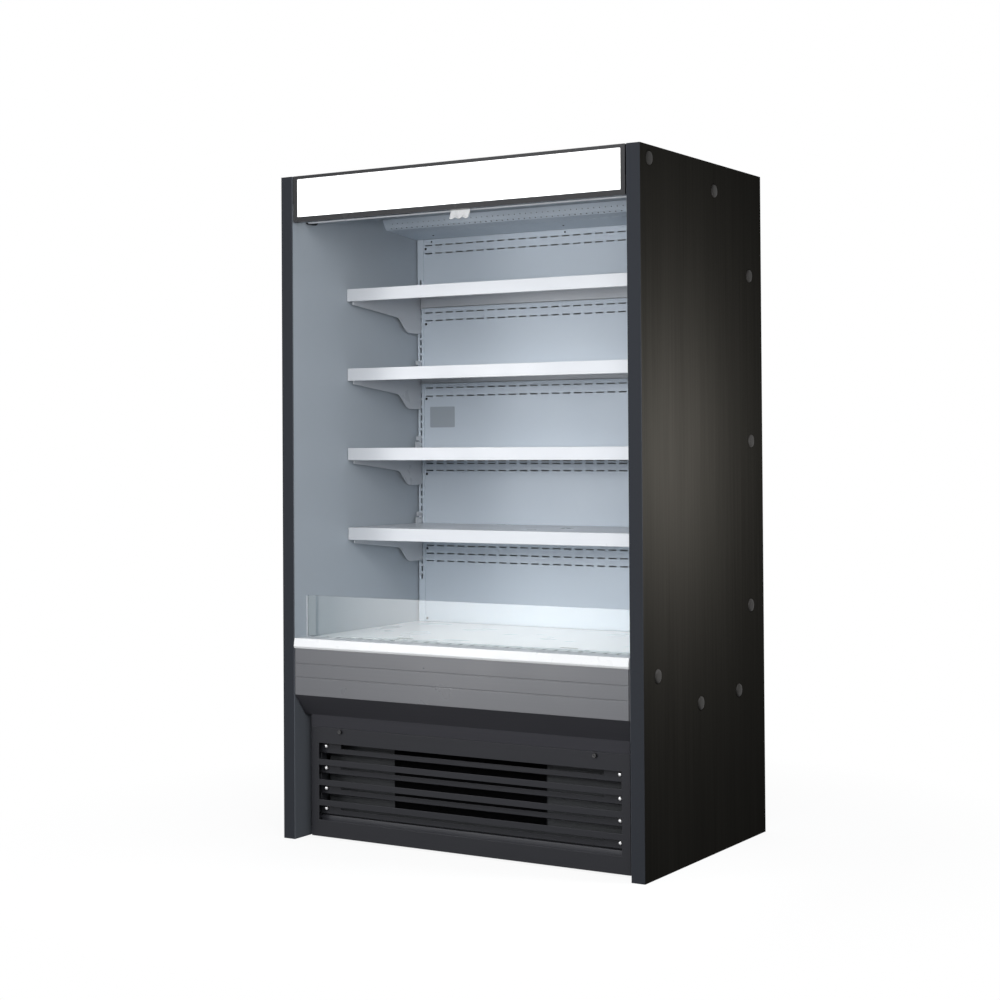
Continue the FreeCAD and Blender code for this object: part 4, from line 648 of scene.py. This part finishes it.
def blank_label():
    """A blank label on the rear panel: a bare film with rounded corners."""
    width, height, corner, film = 0.096, 0.068, 0.003, 0.0003
    middle_x, middle_z = -0.469, 1.277
    outline = []
    for sx, sz, start in ((1, 1, 0), (-1, 1, 90), (-1, -1, 180), (1, -1, 270)):
        for step in range(5):
            angle = math.radians(start + 90 * step / 4)
            u = sx * (width / 2 - corner) + corner * math.cos(angle)
            v = sz * (height / 2 - corner) + corner * math.sin(angle)
            outline.append((middle_x + u, middle_z + v))
    bm = bmesh.new()
    plate(bm, outline, [], lambda u, v: (u, PANEL_FACE - film, v))
    obj = from_bmesh("blank_label", bm, "cabinet", "grey_paint", finish=LABEL)
    thicken(obj, film, 0.0)


small_screws()
blank_label()


# ---------------------------------------------------------------- pull tray


def pull_tray():
    """The moulded finger pull on the curtain's bar: a dished tray with a raised rim and a waved lower lip."""
    low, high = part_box("curtain_handle")
    rows, columns = 26, 44
    half, height = (high.x - low.x) / 2, high.z - low.z
    face_y = high.y - 0.0018
    thickness, wave_height, foot_room = 0.0022, 0.0022, 0.0024
    rim_height, rim_width = 0.0032, 0.0028
    dish_depth, dish_top = 0.0105, 0.35
    verts = []
    for i in range(rows + 1):
        v = i / rows
        for j in range(columns + 1):
            u = 2 * j / columns - 1
            wave = wave_height * math.cos(2.5 * math.pi * u) * v * v
            x = half * u * (1 - 0.06 * v * v)
            z = high.z - (height - foot_room) * v - wave
            border = min((1 - abs(u)) * half, (1 - v) * height)
            rim = rim_height * math.exp(-((border / rim_width) ** 2))
            dish = dish_depth * max(0.0, (v - dish_top) / (1 - dish_top)) ** 1.6
            verts.append((x, face_y - rim - dish, z))
    faces = grid_faces(rows, columns)
    obj = piece("pull_tray", verts, faces, "curtain", "bumper", ["curtain_handle"], smooth=True)
    thicken(obj, thickness, -1.0)


pull_tray()


# ---------------------------------------------------------------- night curtain

ROLLER_Y, ROLLER_Z = -0.314, 1.905
CLOTH_HALF = 0.5505
CLOTH_LENGTH = 1.21
ROLL_INNER, ROLL_OUTER = 0.0142, 0.0240
FREE_Y, FREE_TOP, FREE_BOTTOM = -0.3387, 1.905, 1.874


def cloth_points(rows, columns, section):
    """Points across the cloth's width for each row; the section gives (y, z) for a share of its length."""
    points = []
    for i in range(rows + 1):
        y, z = section(i / rows)
        points += [(CLOTH_HALF * (2 * j / columns - 1), y, z) for j in range(columns + 1)]
    return points


def curtain_roll():
    """The cloth wound on the roller, one spiral whose outer end leaves at the front."""
    turns = CLOTH_LENGTH / (math.pi * (ROLL_INNER + ROLL_OUTER))
    steps_per_turn, columns = 32, 12
    rows = round(turns * steps_per_turn)

    def spiral(share):
        radius = ROLL_INNER + (ROLL_OUTER - ROLL_INNER) * share
        angle = math.pi + 2 * math.pi * turns * (share - 1)
        return ROLLER_Y + radius * math.cos(angle), ROLLER_Z + radius * math.sin(angle)

    verts, faces = cloth_points(rows, columns, spiral), grid_faces(rows, columns, turned=True)
    obj = piece("wound_curtain", verts, faces, "roller", "cloth", ["curtain_roll"], smooth=True)


def free_curtain():
    """The strip that hangs from the roll to the bar, built fixed at its length with the bar up; on the real
    curtain it is drawn out as the bar comes down.
    """
    rows, columns = 32, 48
    verts = cloth_points(rows, columns, lambda share: (FREE_Y, FREE_TOP + (FREE_BOTTOM - FREE_TOP) * share))
    obj = mesh_object("free_curtain", verts, grid_faces(rows, columns), MATERIALS["cloth"], smooth=True)
    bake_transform(obj)
    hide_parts("curtain_fabric")


curtain_roll()
free_curtain()


# ---------------------------------------------------------------- coils with real fins


def finned_coil(node, name, tubes_deep, tubes_high, fin_pitch, finish=None):
    """Thin fins between two end plates on copper tubes, in a coil's block; a finish covers them all."""
    low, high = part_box(node)
    plate_width, half_fin, tube_radius = 0.002, 0.0003, 0.005
    length = high.x - low.x - plate_width * 2
    fins = bmesh.new()
    count = round((high.x - low.x) / fin_pitch)
    for i in range(count):
        x = low.x + plate_width + length / count * (i + 0.5)
        fin_low = (x - half_fin, low.y + 0.002, low.z + 0.004)
        solid_box(fins, fin_low, (x + half_fin, high.y - 0.001, high.z - 0.002))
    for x in (low.x, high.x - plate_width):
        solid_box(fins, (x, low.y, low.z), (x + plate_width, high.y, high.z))
    from_bmesh(name, fins, "cabinet", "aluminium", [node], finish=finish)
    tubes = bmesh.new()
    for i in range(tubes_deep):
        for j in range(tubes_high):
            y = low.y + (high.y - low.y) * (i + 0.5) / tubes_deep
            z = low.z + (high.z - low.z) * (j + 0.5) / tubes_high
            start = (low.x + plate_width, y, z)
            lathe(tubes, [(tube_radius, 0.0), (tube_radius, length)], start, (1, 0, 0), 10)
    from_bmesh(name + "_tubes", tubes, "cabinet", "copper", smooth=True, finish=finish)


# The condenser's fins and tubes take the machine bay's painted shade.
finned_coil("condenser", "condenser_finned", 3, 8, 0.0035, BAY_PAINTED_SHADE)
finned_coil("evaporator", "evaporator_finned", 6, 4, 0.006)


# ---------------------------------------------------------------- CAD nodes: rounded folds

# The radius of each node's folds, in millimetres.
FOLDS = {
    "shelf_bottom": 1.2,
    "shelf_lower": 1.2,
    "shelf_upper": 1.2,
    "shelf_top": 1.2,
    "header_frame": 0.8,
    "lower_front_panel": 0.6,
    "kick_cover": 1.0,
    "service_grille": 1.0,
    "grille_blades": 0.4,
    "deck_pan_left": 1.0,
    "deck_pan_right": 1.0,
    "return_grille": 0.6,
    "glass_channel": 0.8,
    "curtain_bar": 0.8,
    "base_frame": 2.0,
    "refrigerant_lines": 2.0,
    "compressor": 3.0,
    "control_box": 2.0,
    "shelf_brackets": 0.5,
    "front_glass": 0.6,
}
for node, width in FOLDS.items():
    round_folds(NODES[node], width * MM)


# ---------------------------------------------------------------- stage, light and camera


def seen_as_background(tree):
    """1 for the rays that show the surround itself: the camera's, mirrored and refracted ones."""
    rays = add_node(tree, "LightPath").outputs
    total = rays["Is Camera Ray"]
    for ray in ("Is Glossy Ray", "Is Transmission Ray"):
        total = add_node(tree, "Math", {0: total, 1: rays[ray]}, operation="MAXIMUM").outputs[0]
    return total


def white_floor(half, shadow_share, shadow_reach):
    """A floor that the camera and mirrored rays see as white, with a share of the object's shadow.

    The shadow fades out between the two distances of its reach.
    """
    floor = Finish("floor", (0.95, 0.95, 0.95), 0.9, Specular_IOR_Level=0.0)
    seen = seen_as_background(floor.tree)
    floor.set("Base Color", floor.tint(seen, (0.20, 0.20, 0.205), floor.color))
    distance = floor.add("VectorMath", {0: floor.place}, operation="LENGTH").outputs["Value"]
    fade = floor.spread(distance, 1 - shadow_share, 1.0, *shadow_reach)
    share = floor.add("Math", {0: seen, 1: fade}, operation="MULTIPLY").outputs[0]
    glow = floor.add("Emission", {"Color": (1, 1, 1, 1), "Strength": 1.0}).outputs[0]
    mix_surface(floor.tree, share, floor.shader.outputs[0], glow)
    corners = [(-half, -half, 0), (half, -half, 0), (half, half, 0), (-half, half, 0)]
    mesh_object("floor", corners, [(0, 1, 2, 3)], floor.material)


def studio_world(strength):
    """A pale surround: white where it is seen, dim where it lights the object."""
    world = bpy.data.worlds.new("studio")
    bpy.context.scene.world = world
    world.use_nodes = True
    tree = world.node_tree
    light = tree.nodes["Background"]
    feed(tree, light.inputs["Color"], (0.93, 0.96, 1.0, 1))
    feed(tree, light.inputs["Strength"], strength)
    white = add_node(tree, "Background", {"Color": (1, 1, 1, 1), "Strength": 1.0}).outputs[0]
    mix_surface(tree, seen_as_background(tree), light.outputs[0], white, "World Output")


def fade_edges(light):
    """A softbox is brightest in its middle and fades to nothing at its edges; its power stays as set."""
    light.use_nodes = True
    tree = light.node_tree
    over = add_node(tree, "NewGeometry").outputs["Parametric"]
    parts = add_node(tree, "SeparateXYZ", {0: over}).outputs
    # u (1 - u) v (1 - v) is 1/36 on average, so 36 times that keeps the power.
    strength = 36.0
    for part in parts[:2]:
        rest = add_node(tree, "Math", {0: 1.0, 1: part}, operation="SUBTRACT").outputs[0]
        for factor in (part, rest):
            strength = add_node(tree, "Math", {0: factor, 1: strength}, operation="MULTIPLY").outputs[0]
    feed(tree, tree.nodes["Emission"].inputs["Strength"], strength)


def softbox(name, place, target, size, power):
    """A rectangular lamp that looks at a point."""
    lamp = bpy.data.lights.new(name, "AREA")
    lamp.shape = "RECTANGLE"
    lamp.size, lamp.size_y = size
    lamp.energy = power
    fade_edges(lamp)
    obj = bpy.data.objects.new(name, lamp)
    bpy.context.scene.collection.objects.link(obj)
    obj.location = place
    obj.rotation_euler = (Vector(target) - Vector(place)).to_track_quat("-Z", "Y").to_euler()
    obj.visible_camera = False


# Each lamp's place, target, width and height, and power in watts.
LAMPS = {
    "high_left": ((-1.6, -3.6, 3.4), (0.0, 0.0, 1.2), (2.0, 2.0), 30),
    "right_front": ((1.7, -2.4, 1.9), (-0.2, 0.1, 1.1), (1.0, 1.6), 25),
    "mid_left": ((-2.4, -4.0, 1.45), (0.0, -0.4, 0.5), (1.6, 1.0), 31),
    "low_left": ((-1.85, -3.9, 0.38), (0.3, -0.4, 0.55), (2.0, 1.2), 14),
    "high_front": ((0.5, -3.6, 3.2), (0.0, 0.0, 1.3), (2.4, 1.2), 16),
    "side_glow": ((1.11, -0.24, 1.15), (0.61, -0.24, 1.15), (0.26, 0.5), 16),
    "low_front": ((0.4, -3.8, 1.5), (0.0, 0.2, 0.6), (1.6, 0.6), 32),
}
white_floor(half=30, shadow_share=0.12, shadow_reach=(0.7, 1.7))
studio_world(strength=0.60)
for lamp_name, lamp in LAMPS.items():
    softbox(lamp_name, *lamp)


def photo_camera():
    """The photograph's camera, solved from the cabinet's edges, in its 1000 by 1000 frame."""
    place = (2.9239, -4.9735, 1.1809)
    yaw, pitch, roll = 0.55497, 0.01573, -0.00613
    focal, centre_x, centre_y, frame_size = 1892.97, 478.6, 416.16, 1000
    sensor = 36.0
    ahead = Vector((-math.sin(yaw) * math.cos(pitch), math.cos(yaw) * math.cos(pitch), math.sin(pitch)))
    right = Vector((math.cos(yaw), math.sin(yaw), 0))
    up = right.cross(ahead)
    turned_right = right * math.cos(roll) + up * math.sin(roll)
    turned_up = up * math.cos(roll) - right * math.sin(roll)
    camera = bpy.data.cameras.new("photo_camera")
    camera.sensor_width = sensor
    camera.lens = focal / frame_size * sensor
    camera.shift_x = (frame_size / 2 - centre_x) / frame_size
    camera.shift_y = (centre_y - frame_size / 2) / frame_size
    obj = bpy.data.objects.new("photo_camera", camera)
    bpy.context.scene.collection.objects.link(obj)
    turn = Matrix((turned_right, turned_up, -ahead)).transposed()
    obj.matrix_world = Matrix.Translation(place) @ turn.to_4x4()
    bpy.context.scene.camera = obj


photo_camera()
bpy.context.scene.view_settings.view_transform = "Standard"
